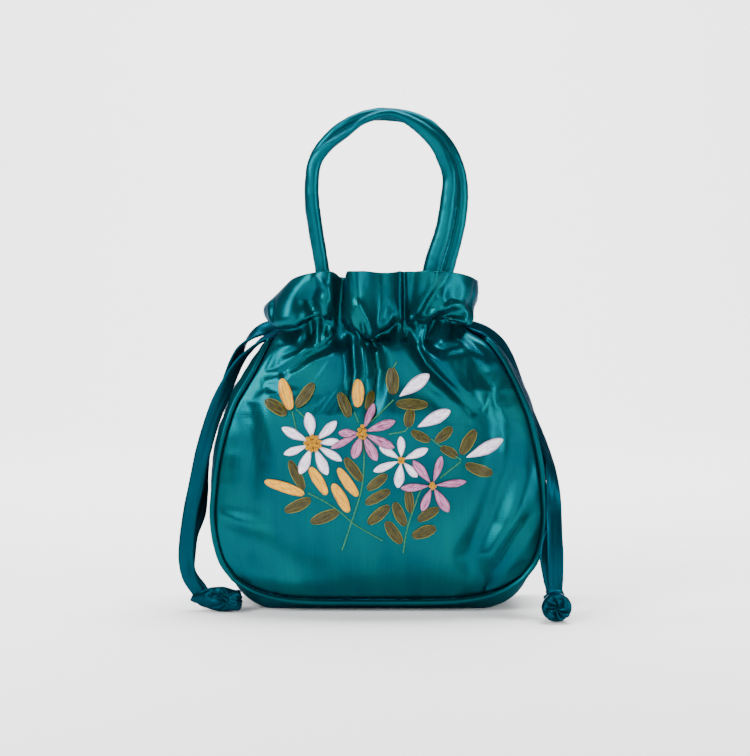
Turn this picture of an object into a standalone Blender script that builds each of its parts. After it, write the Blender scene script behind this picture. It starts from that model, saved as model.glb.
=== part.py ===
"""A drawstring handbag in teal satin with a spray of ribbon embroidery, standing on its base.

Lengths are millimetres until a mesh is made. The bag faces -Y, +Z is up, and the origin lies on
the table under the middle of the bag.
"""

import math

import bmesh
import bpy
from mathutils import Vector
from mathutils.bvhtree import BVHTree

MM = 0.001
FRONT, BACK = -1, 1

CLOTH = 1.5
CASING_WALL = 1.3
PIPING_RADIUS = 1.5
HANDLE_RADIUS = 3.5
STRAP_WIDTH, STRAP_THICKNESS = 8.4, 2.0
STRAP_PINCH, PINCH_LENGTH = 0.55, 12.0
PETAL_THICKNESS, CENTRE_HEIGHT = 0.9, 1.6
HUB_TURN = 13
GAP = 0.35

PANEL_SETBACK, GUSSET_SETBACK, PIPING_OFFSET = 1.0, 1.8, 1.05
GUSSET_TOP = 150

# How finely things are divided: panel columns and rows, the share of a row's height that rows by
# the neck get, and the spacing along seams, straps and handles.
PANEL_COLUMNS, BACK_COLUMNS = 28, 22
PANEL_ROW, BACK_ROW, NECK_ROWS_FROM, NECK_ROW_SHARE = 8.0, 11.5, 120.0, 0.62
EDGE_CROWDING = 0.38
SEAM_SPACING, STRAP_SPACING, HANDLE_SPACING = 8.0, 6.6, 12.0
CASING_COLUMNS, TUNNEL_COLUMNS, CENTRE_SIDES = 18, 16, 10

TEAL = (0.004, 0.190, 0.205)
DEEP_TEAL = (0.003, 0.110, 0.135)
WHITE_RIBBON = (0.78, 0.70, 0.76)
PINK_RIBBON = (0.47, 0.24, 0.36)
GOLD_RIBBON = (0.72, 0.40, 0.09)
OLIVE_RIBBON = (0.14, 0.12, 0.025)

# Edge of both panels, from the lower corner up to the ruffle. Columns: height, distance of the
# left and of the right edge from the middle plane, depth of the edge, depth at the middle of the
# panel, and squareness, which is 1 for a soft bulge and more for a drawn-up ring.
OUTLINE = (
    (19.5, 78.5, 79.8, 26.0, 26.0, 1.0),
    (27.0, 84.0, 85.6, 26.4, 31.5, 1.0),
    (36.0, 87.2, 89.2, 26.8, 35.0, 1.0),
    (46.0, 89.0, 91.0, 27.2, 37.2, 1.0),
    (57.0, 89.5, 91.4, 27.6, 38.4, 1.0),
    (80.0, 87.1, 89.3, 27.4, 38.6, 1.0),
    (95.0, 84.0, 86.3, 26.5, 37.8, 1.0),
    (108.0, 80.1, 82.9, 25.0, 36.2, 1.1),
    (117.0, 76.4, 79.4, 23.4, 34.2, 1.2),
    (128.0, 69.8, 74.4, 20.6, 31.0, 1.4),
    (138.0, 64.4, 69.0, 17.0, 29.6, 1.7),
    (148.0, 59.3, 61.2, 12.0, 28.0, 2.0),
    (156.0, 55.0, 49.4, 5.4, 26.6, 2.4),
    (161.0, 57.5, 49.6, 4.6, 26.6, 2.4),
    (166.0, 61.0, 51.8, 4.0, 28.2, 2.2),
    (172.0, 62.4, 53.6, 3.4, 30.6, 2.0),
    (179.0, 59.4, 55.2, 3.0, 32.0, 1.9),
    (188.0, 53.0, 55.4, 3.0, 32.6, 1.9),
)
BOTTOM_SEAM, CORNER_RISE, CORNER_REACH = 6.3, 13.2, 78.5
BOTTOM_FADE = 55.0
NECK, RUFFLE_START, RUFFLE_TOP, BACK_RUFFLE_SHARE = 158.0, 166.0, 188.0, 0.86
LEFT_DROP, RIGHT_DROP = 9.0, 6.0

# Folds of the front. Columns: x and height of the upper end, x and height of the lower end,
# half width, depth at the upper and at the lower end. A negative depth is a raised pleat.
FRONT_FOLDS = (
    (-20.5, 190, -20.0, 150, 3.8, 14.0, 9.0),
    (-43.0, 184, -34.0, 152, 4.4, 5.0, 8.0),
    (2.0, 188, 4.0, 152, 7.0, 8.0, 6.0),
    (19.0, 190, 16.0, 150, 4.0, 6.0, 9.0),
    (33.0, 178, 27.0, 150, 4.0, 5.0, 8.0),
    (47.0, 178, 38.0, 150, 4.0, 5.0, 7.0),
    (-8.0, 166, -7.0, 150, 3.4, 6.0, 5.0),
    (-12.0, 154, -1.5, 138, 3.8, 7.0, 6.0),
    (-1.5, 138, -3.5, 114, 4.2, 6.0, 1.5),
    (-33.0, 150, -67.0, 134, 4.0, 6.0, 2.5),
    (-24.0, 148, -31.0, 126, 4.6, 5.0, 1.4),
    (17.0, 154, 46.0, 122, 4.2, 7.0, 2.4),
    (8.0, 148, 14.0, 128, 4.0, 4.5, 1.2),
    (30.0, 148, 55.0, 135, 3.6, 4.5, 1.4),
    (33.0, 140, 50.0, 114, 6.0, -2.0, -2.4),
    (-45.0, 134, -56.0, 122, 7.0, -1.6, -1.6),
    (86.0, 72, 52.0, 22, 8.0, 1.0, 2.4),
    (66.0, 62, 34.0, 18, 8.0, -0.6, -1.2),
)
# Even gathers of the back: spacing and number, depths of the flutes above them by turns, where
# the flutes and the gathers end, and their depth at the neck and at the foot.
GATHER_PITCH, GATHER_COUNT, FLUTE_DEPTHS = 11.0, 9, (4.6, 6.4)
FLUTE_TOP, GATHER_TOP, GATHER_FOOT, GATHER_WIDTH = 190.0, 152.0, 122.0, 4.1
GATHER_DEPTHS = (7.0, 6.0, 0.8)
DEEPEST_FOLD, RUFFLE_EXTRA = 7.8, 2.6
TOP_DIP = 0.55
BACK_BULGE = 2.6

# Fullness of the gusset beyond the seam. Columns: height, left, right.
GUSSET_FULLNESS = (
    (19.5, 2.8, 4.6),
    (40.0, 2.6, 2.6),
    (57.0, 3.0, 2.2),
    (80.0, 4.4, 1.6),
    (104.0, 5.4, 1.0),
    (126.0, 5.2, 0.8),
    (139.0, 3.8, 0.8),
    (151.0, 1.4, 0.8),
)
GUSSET_COLUMNS = (-1, -0.84, -0.62, 0, 0.62, 0.84, 1)
GUSSET_FLAT, GUSSET_POWER, BASE_SHARE = 0.62, 2.5, 0.75

# The drawn-up ring at the neck. Columns: half length, half depth.
RING_MIDDLE, RING_POWER = -3.0, 2.5
TUNNEL_RING = (47.0, 15.9)
CASING_RING = (44.6, 13.6)
TUNNEL_REACH, CASING_REACH = 0.84, 0.94
TUNNEL_HEIGHTS = (152.0, 160.0)
CASING_HEIGHTS = (148.5, 165.0)

# Middle lines of the handles. Columns: x, y, height.
FRONT_HANDLE = (
    (-27.0, -6.4, 150), (-29.0, -6.6, 168), (-30.5, -7.2, 188), (-33.5, -7.4, 208),
    (-36.0, -7.0, 227), (-35.4, -6.2, 242), (-31.8, -5.4, 252.5), (-23.5, -4.9, 260.5),
    (-11.0, -4.5, 267.5), (4.7, -4.2, 272.5), (17.0, -4.2, 269.5), (27.6, -4.5, 262),
    (35.6, -5.0, 252.5), (39.8, -5.6, 242), (40.4, -6.2, 232), (38.7, -6.8, 221),
    (35.2, -7.2, 208), (30.4, -7.0, 190), (28.0, -6.4, 168), (26.0, -6.2, 150),
)
BACK_HANDLE = (
    (-28.0, 6.4, 150), (-29.5, 6.6, 168), (-30.6, 7.2, 189), (-34.5, 7.4, 208),
    (-36.8, 7.0, 226), (-36.2, 6.4, 242), (-32.9, 5.6, 254), (-26.0, 5.0, 264),
    (-17.0, 4.6, 271), (-6.8, 4.2, 274.8), (5.0, 4.0, 275.8), (18.0, 4.2, 273.6),
    (29.7, 4.6, 267.5), (39.5, 5.2, 257), (45.6, 6.0, 244), (47.4, 6.6, 231),
    (46.4, 6.8, 217), (43.7, 6.6, 204), (39.2, 6.0, 188), (34.4, 4.4, 168), (32.0, 4.2, 150),
)

# Routes of the drawstrings. Columns: x, y, height, then the direction of the strap's width.
LEFT_STRING_FRONT = (
    (-44.0, -9.8, 156, 0, 0, 1), (-48.2, -6.4, 156, 0, 0, 1), (-53.0, -1.7, 155.6, 0, 0, 1),
    (-58.4, -2.6, 156.4, 0.2, 0, 1), (-64.4, -5, 152.2, 0.5, 0.2, 0.8),
    (-71.3, -8.5, 144.6, 0.7, 0.3, 0.6), (-77.6, -11, 134, 0.85, 0.3, 0.35),
    (-84.0, -12.5, 122.6, 0.9, 0.3, 0.3), (-89.2, -13.5, 111.5, 0.95, 0.2, 0.25),
    (-93.0, -14.5, 100, 1, 0.1, 0.2), (-95.9, -15.5, 89, 1, 0, 0.2),
    (-98.2, -16.5, 79, 1, 0, 0.2), (-100.2, -17.5, 69, 1, 0, 0.15),
    (-102.2, -18.5, 58, 1, 0, 0.1), (-103.6, -19.5, 47, 1, 0, 0), (-103.8, -20.4, 37, 1, 0, 0.1),
    (-103.2, -21.1, 28, 1, 0, 0.15), (-101.6, -21.7, 20.5, 0.95, 0, 0.3),
    (-99.4, -22.2, 15.4, 0.9, 0, 0.4), (-97.8, -22.4, 12.3, 0.85, 0, 0.5),
)
LEFT_STRING_BACK = (
    (-44.0, 9.8, 156, 0, 0, 1), (-48.2, 6.4, 156.2, 0, 0, 1), (-53.0, 1.7, 157, 0, 0, 1),
    (-58.5, 1.8, 158, 0, 0.2, 1), (-64.5, 2.4, 156.4, 0.2, 0.5, 0.85),
    (-70.0, 3, 152.4, 0.3, 0.6, 0.7), (-75.4, 3, 146.2, 0.5, 0.6, 0.5),
    (-79.8, 2.4, 138, 0.6, 0.7, 0.3), (-83.8, 1.4, 128, 0.5, 0.8, 0.2),
    (-87.8, 0.4, 117, 0.4, 0.9, 0.1), (-91.0, -0.6, 106, 0.3, 0.95, 0),
    (-93.4, -1.6, 95, 0.2, 1, 0), (-95.0, -2.6, 84, 0.15, 1, 0), (-96.0, -4.6, 73, 0.2, 1, 0),
    (-97.4, -7.6, 62, 0.5, 0.85, 0), (-99.4, -11, 52, 0.8, 0.6, 0),
    (-101.0, -14.4, 42, 0.95, 0.3, 0), (-102.0, -16.6, 32, 1, 0.1, 0),
    (-101.4, -18.2, 23, 1, 0, 0.2), (-99.4, -18.9, 16.8, 0.9, 0, 0.4),
    (-97.3, -19.8, 11.8, 0.85, 0, 0.5),
)
RIGHT_STRING_FRONT = (
    (38.0, -9.8, 156, 0, 0, 1), (42.2, -6.4, 156, 0, 0, 1), (46.9, -1.7, 156.2, 0, 0, 1),
    (52.8, -2.4, 157.2, -0.1, -0.1, 1), (59.4, -4.2, 154.8, -0.35, -0.2, 0.9),
    (66.0, -6, 149, -0.5, -0.5, 0.6), (70.8, -7.4, 141, -0.45, -0.8, 0.4),
    (75.8, -8.7, 132.5, -0.4, -0.9, 0.2), (80.4, -10, 122, -0.3, -1, 0.1),
    (84.9, -12, 111.5, -0.3, -1, 0), (88.9, -15, 100.4, -0.5, -0.9, 0),
    (93.0, -19.6, 89.3, -0.5, -0.85, 0), (95.6, -25, 79, -0.6, -0.8, 0),
    (97.2, -29.6, 68, -0.85, -0.5, 0), (97.8, -32.5, 57, -1, -0.1, 0), (98.4, -37, 46, -1, 0, 0),
    (98.6, -40.6, 36, -1, 0, 0), (98.4, -43.2, 27.5, -1, 0, 0), (98.1, -44.6, 20, -1, 0, 0),
    (97.9, -45.3, 13, -1, 0, 0),
)
RIGHT_STRING_BACK = (
    (38.0, 9.8, 156, 0, 0, 1), (42.2, 6.4, 156.2, 0, 0, 1), (46.9, 1.7, 157, 0, 0, 1),
    (52.4, 1.8, 158.8, 0, 0.1, 1), (58.8, 2.4, 157.6, 0.3, 0.3, 0.9),
    (65.4, 3.2, 153, 0.5, 0.5, 0.7), (71.4, 3.4, 146, 0.5, 0.7, 0.5),
    (76.2, 3.2, 136.5, 0.4, 0.85, 0.3), (80.8, 2.4, 126, 0.3, 0.95, 0.1),
    (84.8, 1.4, 115.5, 0.2, 1, 0), (88.2, 0.2, 105, 0.1, 1, 0), (91.2, -2, 95, 0, 1, 0),
    (93.4, -5.4, 85, 0, 1, 0), (94.8, -10, 75, 0, 1, 0), (95.8, -16, 65, 0.2, 0.95, 0),
    (97.2, -22.5, 56, 0.5, 0.85, 0), (98.0, -30.4, 47, 0.8, 0.6, 0), (94.8, -34.6, 39, 0.9, 0.4, 0),
    (94.0, -38.0, 31.5, 1, 0.2, 0), (95.4, -40.2, 24, 1, 0, 0), (96.8, -41.8, 16, 1, 0, 0),
    (97.4, -43.2, 9.6, 1, 0, 0),
)

# Knots, turned about the line from where the straps enter to the pleated end. Columns of a
# profile: distance along that line, radius.
LEFT_KNOT_ENTRY, LEFT_KNOT_AIM = (-100.6, -22.2, 8.0), (-73.4, -27.4, 6.2)
LEFT_KNOT_PROFILE = (
    (0, 0), (0.6, 2.4), (3.5, 4.6), (8, 6.0), (14, 6.7), (19, 6.4), (22, 5.9), (25, 6.2),
    (27, 5.2), (26.4, 2.6), (25.2, 0),
)
RIGHT_KNOT_ENTRY, RIGHT_KNOT_AIM = (97.7, -46.6, 12.5), (97.2, -59.0, 6.5)
RIGHT_KNOT_PROFILE = (
    (0, 0), (0.4, 3.6), (2.4, 5.2), (4, 5.9), (5.4, 5.4), (7.4, 6.6), (10, 7.8), (12, 8.0),
    (13.8, 7.0), (13.4, 3.6), (12.2, 0),
)
KNOT_STEPS = 12

# Daisies. Columns of a daisy: x, height, radius of the middle. Columns of a petal: bearing in
# degrees from +X towards up, reach from the middle, width.
DAISIES = {
    "white_daisy": (
        (-34.8, 94.6, 4.6),
        ((100, 17.0, 6.0), (43, 16.5, 5.0), (5, 11.4, 4.0), (-31, 18.0, 4.4),
         (-65, 14.0, 5.6), (-113, 14.0, 5.6), (-159, 17.0, 4.2), (154, 19.0, 5.2)),
    ),
    "pink_daisy": (
        (-8.2, 100.5, 3.2),
        ((67, 16.5, 4.2), (19, 19.0, 5.0), (-25, 19.0, 5.0), (-62, 15.0, 5.6),
         (-108, 14.8, 5.8), (-151, 13.6, 3.6), (-179, 12.4, 4.4)),
    ),
    "small_white_daisy": (
        (13.2, 85.6, 2.6),
        ((92, 12.5, 4.4), (23, 15.5, 4.6), (-47, 9.0, 3.6), (-97, 15.0, 5.4),
         (-158, 16.0, 4.4), (147, 8.6, 3.6)),
    ),
    "small_pink_daisy": (
        (30.1, 71.8, 2.6),
        ((128, 14.6, 5.0), (73, 16.5, 4.2), (6, 18.5, 4.0), (-59, 17.0, 5.6),
         (-112, 14.0, 4.6), (-175, 12.0, 4.2)),
    ),
}
# Buds and leaves. Columns: x and height of the base, bearing in degrees, length, width.
WHITE_BUDS = (
    (12.2, 119.8, 36, 20.2, 5.8),
    (22.0, 103.4, 26, 20.0, 5.6),
    (48.4, 86.8, 24, 22.6, 5.4),
)
GOLD_BUDS = (
    (-47.0, 112.4, 107, 17.6, 6.4),
    (-10.6, 114.0, 89, 15.0, 6.4),
    (-39.4, 66.9, 163, 23.0, 5.6),
    (-27.4, 66.6, 121, 14.6, 5.6),
    (-15.4, 57.0, 119, 18.0, 5.8),
    (-10.4, 65.8, 125, 16.4, 5.2),
)
LEAVES = (
    (-49.2, 110.0, 147, 14.2, 5.6), (-44.0, 114.0, 54, 16.0, 5.2),
    (-15.0, 108.6, 113, 14.4, 5.0), (-5.6, 112.6, 73, 10.6, 3.8),
    (8.8, 120.6, 93, 14.8, 6.0), (10.2, 116.0, -2, 17.6, 5.2),
    (16.6, 103.2, 79, 8.2, 5.0), (18.6, 101.2, -27, 11.6, 4.4),
    (31.8, 95.3, 41, 12.0, 4.6), (34.4, 92.6, -30, 11.0, 4.2),
    (45.6, 88.4, 59, 15.4, 5.4), (48.0, 83.0, -21, 16.4, 5.4),
    (-8.0, 74.0, 126, 10.6, 4.6), (-5.2, 69.4, 38, 13.6, 4.6),
    (-6.4, 61.8, 28, 13.4, 4.6), (-5.0, 50.6, 41, 15.6, 5.2),
    (-39.6, 69.4, 117, 10.0, 4.6), (-50.3, 57.3, 26, 16.0, 5.4),
    (-36.3, 51.4, 22, 17.2, 5.4), (13.4, 39.8, 125, 15.0, 5.4),
    (15.4, 49.6, 115, 13.4, 5.0), (18.4, 56.6, 97, 9.6, 4.2),
    (22.0, 52.4, 30, 11.6, 4.6), (19.0, 43.8, 19, 14.0, 5.6),
)


def hermite(rows, place):
    """Columns of a table at a place between its rows, on a smooth curve through the rows."""
    last = len(rows) - 1
    index = 0
    while index < last - 1 and rows[index + 1][0] <= place:
        index += 1
    near, far = rows[index], rows[index + 1]
    before, after = rows[max(index - 1, 0)], rows[min(index + 2, last)]
    span = far[0] - near[0]
    t = min(max((place - near[0]) / span, 0.0), 1.0)
    found = []
    for column in range(1, len(near)):
        start_slope = (far[column] - before[column]) / (far[0] - before[0]) * span
        end_slope = (after[column] - near[column]) / (after[0] - near[0]) * span
        found.append(
            (2 * t**3 - 3 * t**2 + 1) * near[column]
            + (t**3 - 2 * t**2 + t) * start_slope
            + (3 * t**2 - 2 * t**3) * far[column]
            + (t**3 - t**2) * end_slope
        )
    return found


def smooth_route(points, spacing):
    """Evenly spaced points on a smooth curve through the given ones, extra columns carried."""
    lengths = [0.0]
    for first, second in zip(points, points[1:]):
        lengths.append(lengths[-1] + math.dist(first[:3], second[:3]))
    table = [(length, *point) for length, point in zip(lengths, points)]
    count = round(lengths[-1] / spacing)
    return [hermite(table, lengths[-1] * step / count) for step in range(count + 1)]


def bottom_seam(x):
    return BOTTOM_SEAM + CORNER_RISE * min(abs(x) / CORNER_REACH, 1.0) ** 5


def fold_depth(folds, x, height):
    """How far the cloth is pushed in at a place, by all the folds together."""
    total = 0.0
    for top_x, top, foot_x, foot, half_width, top_depth, foot_depth in folds:
        run_x, run = foot_x - top_x, foot - top
        along = ((x - top_x) * run_x + (height - top) * run) / (run_x**2 + run**2)
        along = min(max(along, 0.0), 1.0)
        away = math.hypot(x - top_x - run_x * along, height - top - run * along)
        depth = top_depth + (foot_depth - top_depth) * along
        total += depth * math.exp(-((away / half_width) ** 2))
    return total


def back_folds():
    """Even gathers under the neck, each with a flute of the ruffle above it."""
    folds = []
    for index in range(GATHER_COUNT):
        x = RING_MIDDLE + GATHER_PITCH * (index - (GATHER_COUNT - 1) / 2)
        spread = 1.3 + 0.065 * abs(index - GATHER_COUNT // 2)
        flute, foot = FLUTE_DEPTHS[index % 2], GATHER_FOOT + 3 * (index % 3)
        at_neck, under_neck, at_foot = GATHER_DEPTHS
        folds.append((x * 1.12, FLUTE_TOP, x, GATHER_TOP, GATHER_WIDTH, flute, at_neck))
        folds.append((x, GATHER_TOP, x * spread, foot, GATHER_WIDTH, under_neck, at_foot))
    return tuple(folds)


def row_point(side, height, across):
    """A point of a panel before folding, on the row that meets the edge at this height."""
    left, right, edge, crown, squareness = hermite(OUTLINE, height)
    middle, half = (right - left) / 2, (right + left) / 2 - PANEL_SETBACK
    x = middle + half * across
    fullness = max(1 - abs(across) ** 3, 0.0) ** (1 / squareness)
    if side == BACK:
        crown += BACK_BULGE * min(max((NECK - height) / 60, 0.0), 1.0)
    y = side * (edge + (crown - edge) * fullness)
    lowering = max(0.0, 1 - (height - OUTLINE[0][0]) / BOTTOM_FADE) ** 1.6
    z = height - lowering * (OUTLINE[0][0] - bottom_seam(x) - PANEL_SETBACK)
    rise = max(0.0, (height - NECK) / (RUFFLE_TOP - NECK))
    if side == BACK:
        z -= (1 - BACK_RUFFLE_SHARE) * rise * (RUFFLE_TOP - NECK)
    drop = LEFT_DROP if across < 0 else RIGHT_DROP
    z -= rise * drop * abs(across) ** 6
    return Vector((x, y, z))


def panel_point(side, folds, height, across):
    """A point of a panel: the smooth row pushed in along its own plan normal by the folds."""
    step = 0.01
    point = row_point(side, height, across)
    ahead = row_point(side, height, min(across + step, 1.0))
    behind = row_point(side, height, max(across - step, -1.0))
    inward = Vector((ahead.y - behind.y, behind.x - ahead.x, 0)).normalized() * side
    rise = max(0.0, (height - RUFFLE_START) / (RUFFLE_TOP - RUFFLE_START))
    deepest = DEEPEST_FOLD + RUFFLE_EXTRA * rise
    depth = fold_depth(folds, point.x, point.z)
    depth = deepest * math.tanh(depth / deepest) * (1 - abs(across) ** 8)
    point.z -= TOP_DIP * depth * rise
    return point + inward * depth


def panel_heights(step):
    """Heights of a panel's rows, closer together about the neck."""
    heights, height = [OUTLINE[0][0]], OUTLINE[0][0]
    while height < RUFFLE_TOP - 1:
        height += step if height < NECK_ROWS_FROM else step * NECK_ROW_SHARE
        heights.append(min(height, RUFFLE_TOP))
    return heights


def new_material(name, colour, roughness):
    material = bpy.data.materials.new(name)
    material.use_nodes = True
    shader = material.node_tree.nodes["Principled BSDF"]
    shader.inputs["Base Color"].default_value = (*colour, 1)
    shader.inputs["Roughness"].default_value = roughness
    shader.inputs["Metallic"].default_value = 0.0
    return material


def add_object(collection, name, data, colour, roughness=0.35):
    obj = bpy.data.objects.new(name, data)
    data.materials.append(new_material(name, colour, roughness))
    collection.objects.link(obj)
    return obj


def grid_mesh(name, columns, rows, place):
    """A sheet made from a plain grid, each corner moved to place(across, up), both 0 to 1."""
    sheet = bmesh.new()
    bmesh.ops.create_grid(sheet, x_segments=columns, y_segments=rows, size=0.5)
    for vertex in sheet.verts:
        vertex.co = Vector(place(vertex.co.x + 0.5, vertex.co.y + 0.5)) * MM
    mesh = bpy.data.meshes.new(name)
    sheet.to_mesh(mesh)
    sheet.free()
    mesh.shade_smooth()
    return mesh


def add_wall(obj, thickness, offset):
    wall = obj.modifiers.new("wall", "SOLIDIFY")
    wall.thickness = thickness * MM
    wall.offset = offset
    return wall


def add_panel(collection, name, side, folds, columns, row_step):
    heights = panel_heights(row_step)

    def place(across, up):
        u = side * (1 - 2 * across)
        u = (1 - EDGE_CROWDING) * u + EDGE_CROWDING * math.sin(u * math.pi / 2)
        return panel_point(side, folds, heights[round(up * (len(heights) - 1))], u)

    mesh = grid_mesh(name, columns, len(heights) - 1, place)
    obj = add_object(collection, name, mesh, TEAL)
    add_wall(obj, CLOTH, -1)
    return obj


def seam_path():
    """The seam from the left neck round the base to the right neck: x, height and edge depth."""
    heights = [h for h in panel_heights(SEAM_SPACING) if h < GUSSET_TOP - 3] + [GUSSET_TOP]
    path = []
    for height in reversed(heights):
        left, _, edge, _, _ = hermite(OUTLINE, height)
        path.append((-left, height, edge))
    left, right, edge, _, _ = hermite(OUTLINE, OUTLINE[0][0])
    for share in (0.03, 0.07, 0.12, 0.18, 0.26, 0.36, 0.5, 0.64, 0.74, 0.82, 0.88, 0.93, 0.97):
        x = -left + (left + right) * share
        path.append((x, bottom_seam(x), edge))
    for height in heights:
        _, right, edge, _, _ = hermite(OUTLINE, height)
        path.append((right, height, edge))
    return path


def outward_of(path, index):
    """Unit vector in the plane of the seam, pointing out of the bag."""
    before, after = path[max(index - 1, 0)], path[min(index + 1, len(path) - 1)]
    return Vector((before[1] - after[1], 0, after[0] - before[0])).normalized() * -1


def add_gusset(collection):
    path = seam_path()
    flat_share = 1 - GUSSET_FLAT**GUSSET_POWER

    def place(across, up):
        index = round(up * (len(path) - 1))
        x, z, edge = path[index]
        t = GUSSET_COLUMNS[round(across * (len(GUSSET_COLUMNS) - 1))]
        fullness = min((1 - abs(t) ** GUSSET_POWER) / flat_share, 1.0)
        point = Vector((x, t * (edge - GUSSET_SETBACK), z))
        if abs(x) < BASE_SHARE * CORNER_REACH and z < OUTLINE[0][0]:
            return point - Vector((0, 0, z * fullness))
        left, right = hermite(GUSSET_FULLNESS, z)
        reach = left if x < 0 else right
        nearness = (abs(x) / CORNER_REACH - BASE_SHARE) / (1 - BASE_SHARE)
        nearness = min(max(nearness, 0.0), 1.0)
        if z < OUTLINE[0][0]:
            reach += (z - reach) * (1 - nearness)
        shift = outward_of(path, index) * reach * fullness
        if point.z + shift.z < 0:
            shift.z = -point.z
        return point + shift

    mesh = grid_mesh("gusset", len(GUSSET_COLUMNS) - 1, len(path) - 1, place)
    obj = add_object(collection, "gusset", mesh, DEEP_TEAL)
    add_wall(obj, CLOTH, -1)
    return obj


def add_tube(collection, name, points, radius, resolution, colour):
    """A round cord along the given points, with closed ends."""
    curve = bpy.data.curves.new(name, "CURVE")
    curve.dimensions = "3D"
    curve.bevel_depth = radius * MM
    curve.bevel_resolution = resolution
    curve.use_fill_caps = True
    spline = curve.splines.new("POLY")
    spline.points.add(len(points) - 1)
    for control, point in zip(spline.points, points):
        control.co = (*(value * MM for value in point[:3]), 1)
    return add_object(collection, name, curve, colour)


def add_piping(collection, name, side):
    path = seam_path()
    points = []
    for index, (x, z, edge) in enumerate(path):
        corner = Vector((x, side * (edge + PIPING_OFFSET), z))
        points.append(corner + outward_of(path, index) * PIPING_OFFSET)
    return add_tube(collection, name, points, PIPING_RADIUS, 1, DEEP_TEAL)


def ring_point(ring, side, across, height):
    """A point of a drawn-up ring inside the neck."""
    length, depth = ring
    y = side * depth * (1 - abs(across) ** RING_POWER) ** (1 / RING_POWER)
    return (RING_MIDDLE + length * across, y, height)


def add_band(collection, name, side, ring, reach, heights, thickness, columns):
    """Half of a band round the inside of the neck."""

    def place(across, up):
        turn = (2 * across - 1) * math.asin(reach)
        return ring_point(
            ring, side, math.sin(turn), heights[0] + (heights[1] - heights[0]) * up
        )

    obj = add_object(collection, name, grid_mesh(name, columns, 1, place), DEEP_TEAL)
    add_wall(obj, thickness, 0)
    return obj


def add_strap(collection, name, route):
    """A flat strap along a route, its width turned as the route's last columns say."""
    points = smooth_route(route, STRAP_SPACING)
    end = points[-1]

    def place(across, up):
        x, y, z, *direction = points[round(up * (len(points) - 1))]
        left_over = math.dist((x, y, z), end[:3])
        share = min(1.0, STRAP_PINCH + (1 - STRAP_PINCH) * left_over / PINCH_LENGTH)
        width = STRAP_WIDTH * share
        return Vector((x, y, z)) + Vector(direction).normalized() * width * (across - 0.5)

    obj = add_object(collection, name, grid_mesh(name, 1, len(points) - 1, place), DEEP_TEAL)
    add_wall(obj, STRAP_THICKNESS, 0)
    return obj


def add_knot(collection, name, entry, aim, profile):
    """A knot with a pleated end, turned about the line from its entry towards its aim."""
    outline = bmesh.new()
    points = [outline.verts.new((radius * MM, 0, along * MM)) for along, radius in profile]
    for first, second in zip(points, points[1:]):
        outline.edges.new((first, second))
    mesh = bpy.data.meshes.new(name)
    outline.to_mesh(mesh)
    outline.free()
    obj = add_object(collection, name, mesh, DEEP_TEAL)
    turned = obj.modifiers.new("turned", "SCREW")
    turned.steps = turned.render_steps = KNOT_STEPS
    turned.use_merge_vertices = True
    turned.merge_threshold = 0.00001
    turned.use_smooth_shade = True
    turned.use_normal_flip = True
    direction = Vector(aim) - Vector(entry)
    obj.location = Vector(entry) * MM
    obj.rotation_euler = direction.to_track_quat("Z", "Y").to_euler()
    return obj


def panel_tree(panel):
    """A tree of the panel's faces, for laying the embroidery on it."""
    graph = bpy.context.evaluated_depsgraph_get()
    return BVHTree.FromObject(panel, graph)


def on_panel(tree, x, height, lift):
    """The place in front of the panel at x and height, this far off its face."""
    start = Vector((x, -200, height)) * MM
    found, normal, _, _ = tree.ray_cast(start, Vector((0, 1, 0)))
    return found + normal * lift * MM


def highest_bulge(tree, faces):
    """How far the panel stands out, in mm, beyond flat faces whose corners touch it."""
    highest = 0.0
    for face in faces:
        touching = [on_panel(tree, corner.x, corner.y, 0) for corner in face]
        spots = [(index, (index + 1) % len(face)) for index in range(len(face))]
        spots += [(0, len(face) // 2)]
        for first, second in spots:
            middle = (face[first] + face[second]) / 2
            level = (touching[first].y + touching[second].y) / 2
            highest = max(highest, (level - on_panel(tree, middle.x, middle.y, 0).y) / MM)
    return highest


def lens_points(x, height, bearing, start, reach, width, near_share):
    """Corners of a petal or leaf, in pairs from its base to its tip."""
    ahead = Vector((math.cos(math.radians(bearing)), math.sin(math.radians(bearing))))
    aside = Vector((-ahead.y, ahead.x)) * width / 2
    base = Vector((x, height))
    length = reach - start
    near = base + ahead * (start + 0.3 * length)
    far = base + ahead * (start + 0.72 * length)
    tip = base + ahead * reach
    return near + aside * near_share, near - aside * near_share, far + aside, far - aside, tip


def add_ribbon_piece(collection, name, faces, tree, colour):
    """A flat piece of ribbon work, given as faces of (x, height), laid on the panel."""
    sheet = bmesh.new()
    lift = GAP + highest_bulge(tree, faces)
    corners = {}
    for face in faces:
        for corner in face:
            key = (round(corner.x, 4), round(corner.y, 4))
            if key not in corners:
                corners[key] = sheet.verts.new(on_panel(tree, corner.x, corner.y, lift))
        keys = [(round(corner.x, 4), round(corner.y, 4)) for corner in face]
        sheet.faces.new([corners[key] for key in keys])
    for face in sheet.faces:
        face.normal_update()
        if face.normal.y > 0:
            face.normal_flip()
    mesh = bpy.data.meshes.new(name)
    sheet.to_mesh(mesh)
    sheet.free()
    obj = add_object(collection, name, mesh, colour, 0.6)
    add_wall(obj, PETAL_THICKNESS, 1)
    return obj


def add_lens(collection, name, row, tree, colour):
    x, height, bearing, length, width = row
    upper, lower, far_upper, far_lower, tip = lens_points(
        x, height, bearing, 0, length, width, 0.86
    )
    base = Vector((x, height))
    faces = (
        (base, upper, lower),
        (upper, far_upper, far_lower, lower),
        (far_upper, tip, far_lower),
    )
    return add_ribbon_piece(collection, name, faces, tree, colour)


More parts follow.
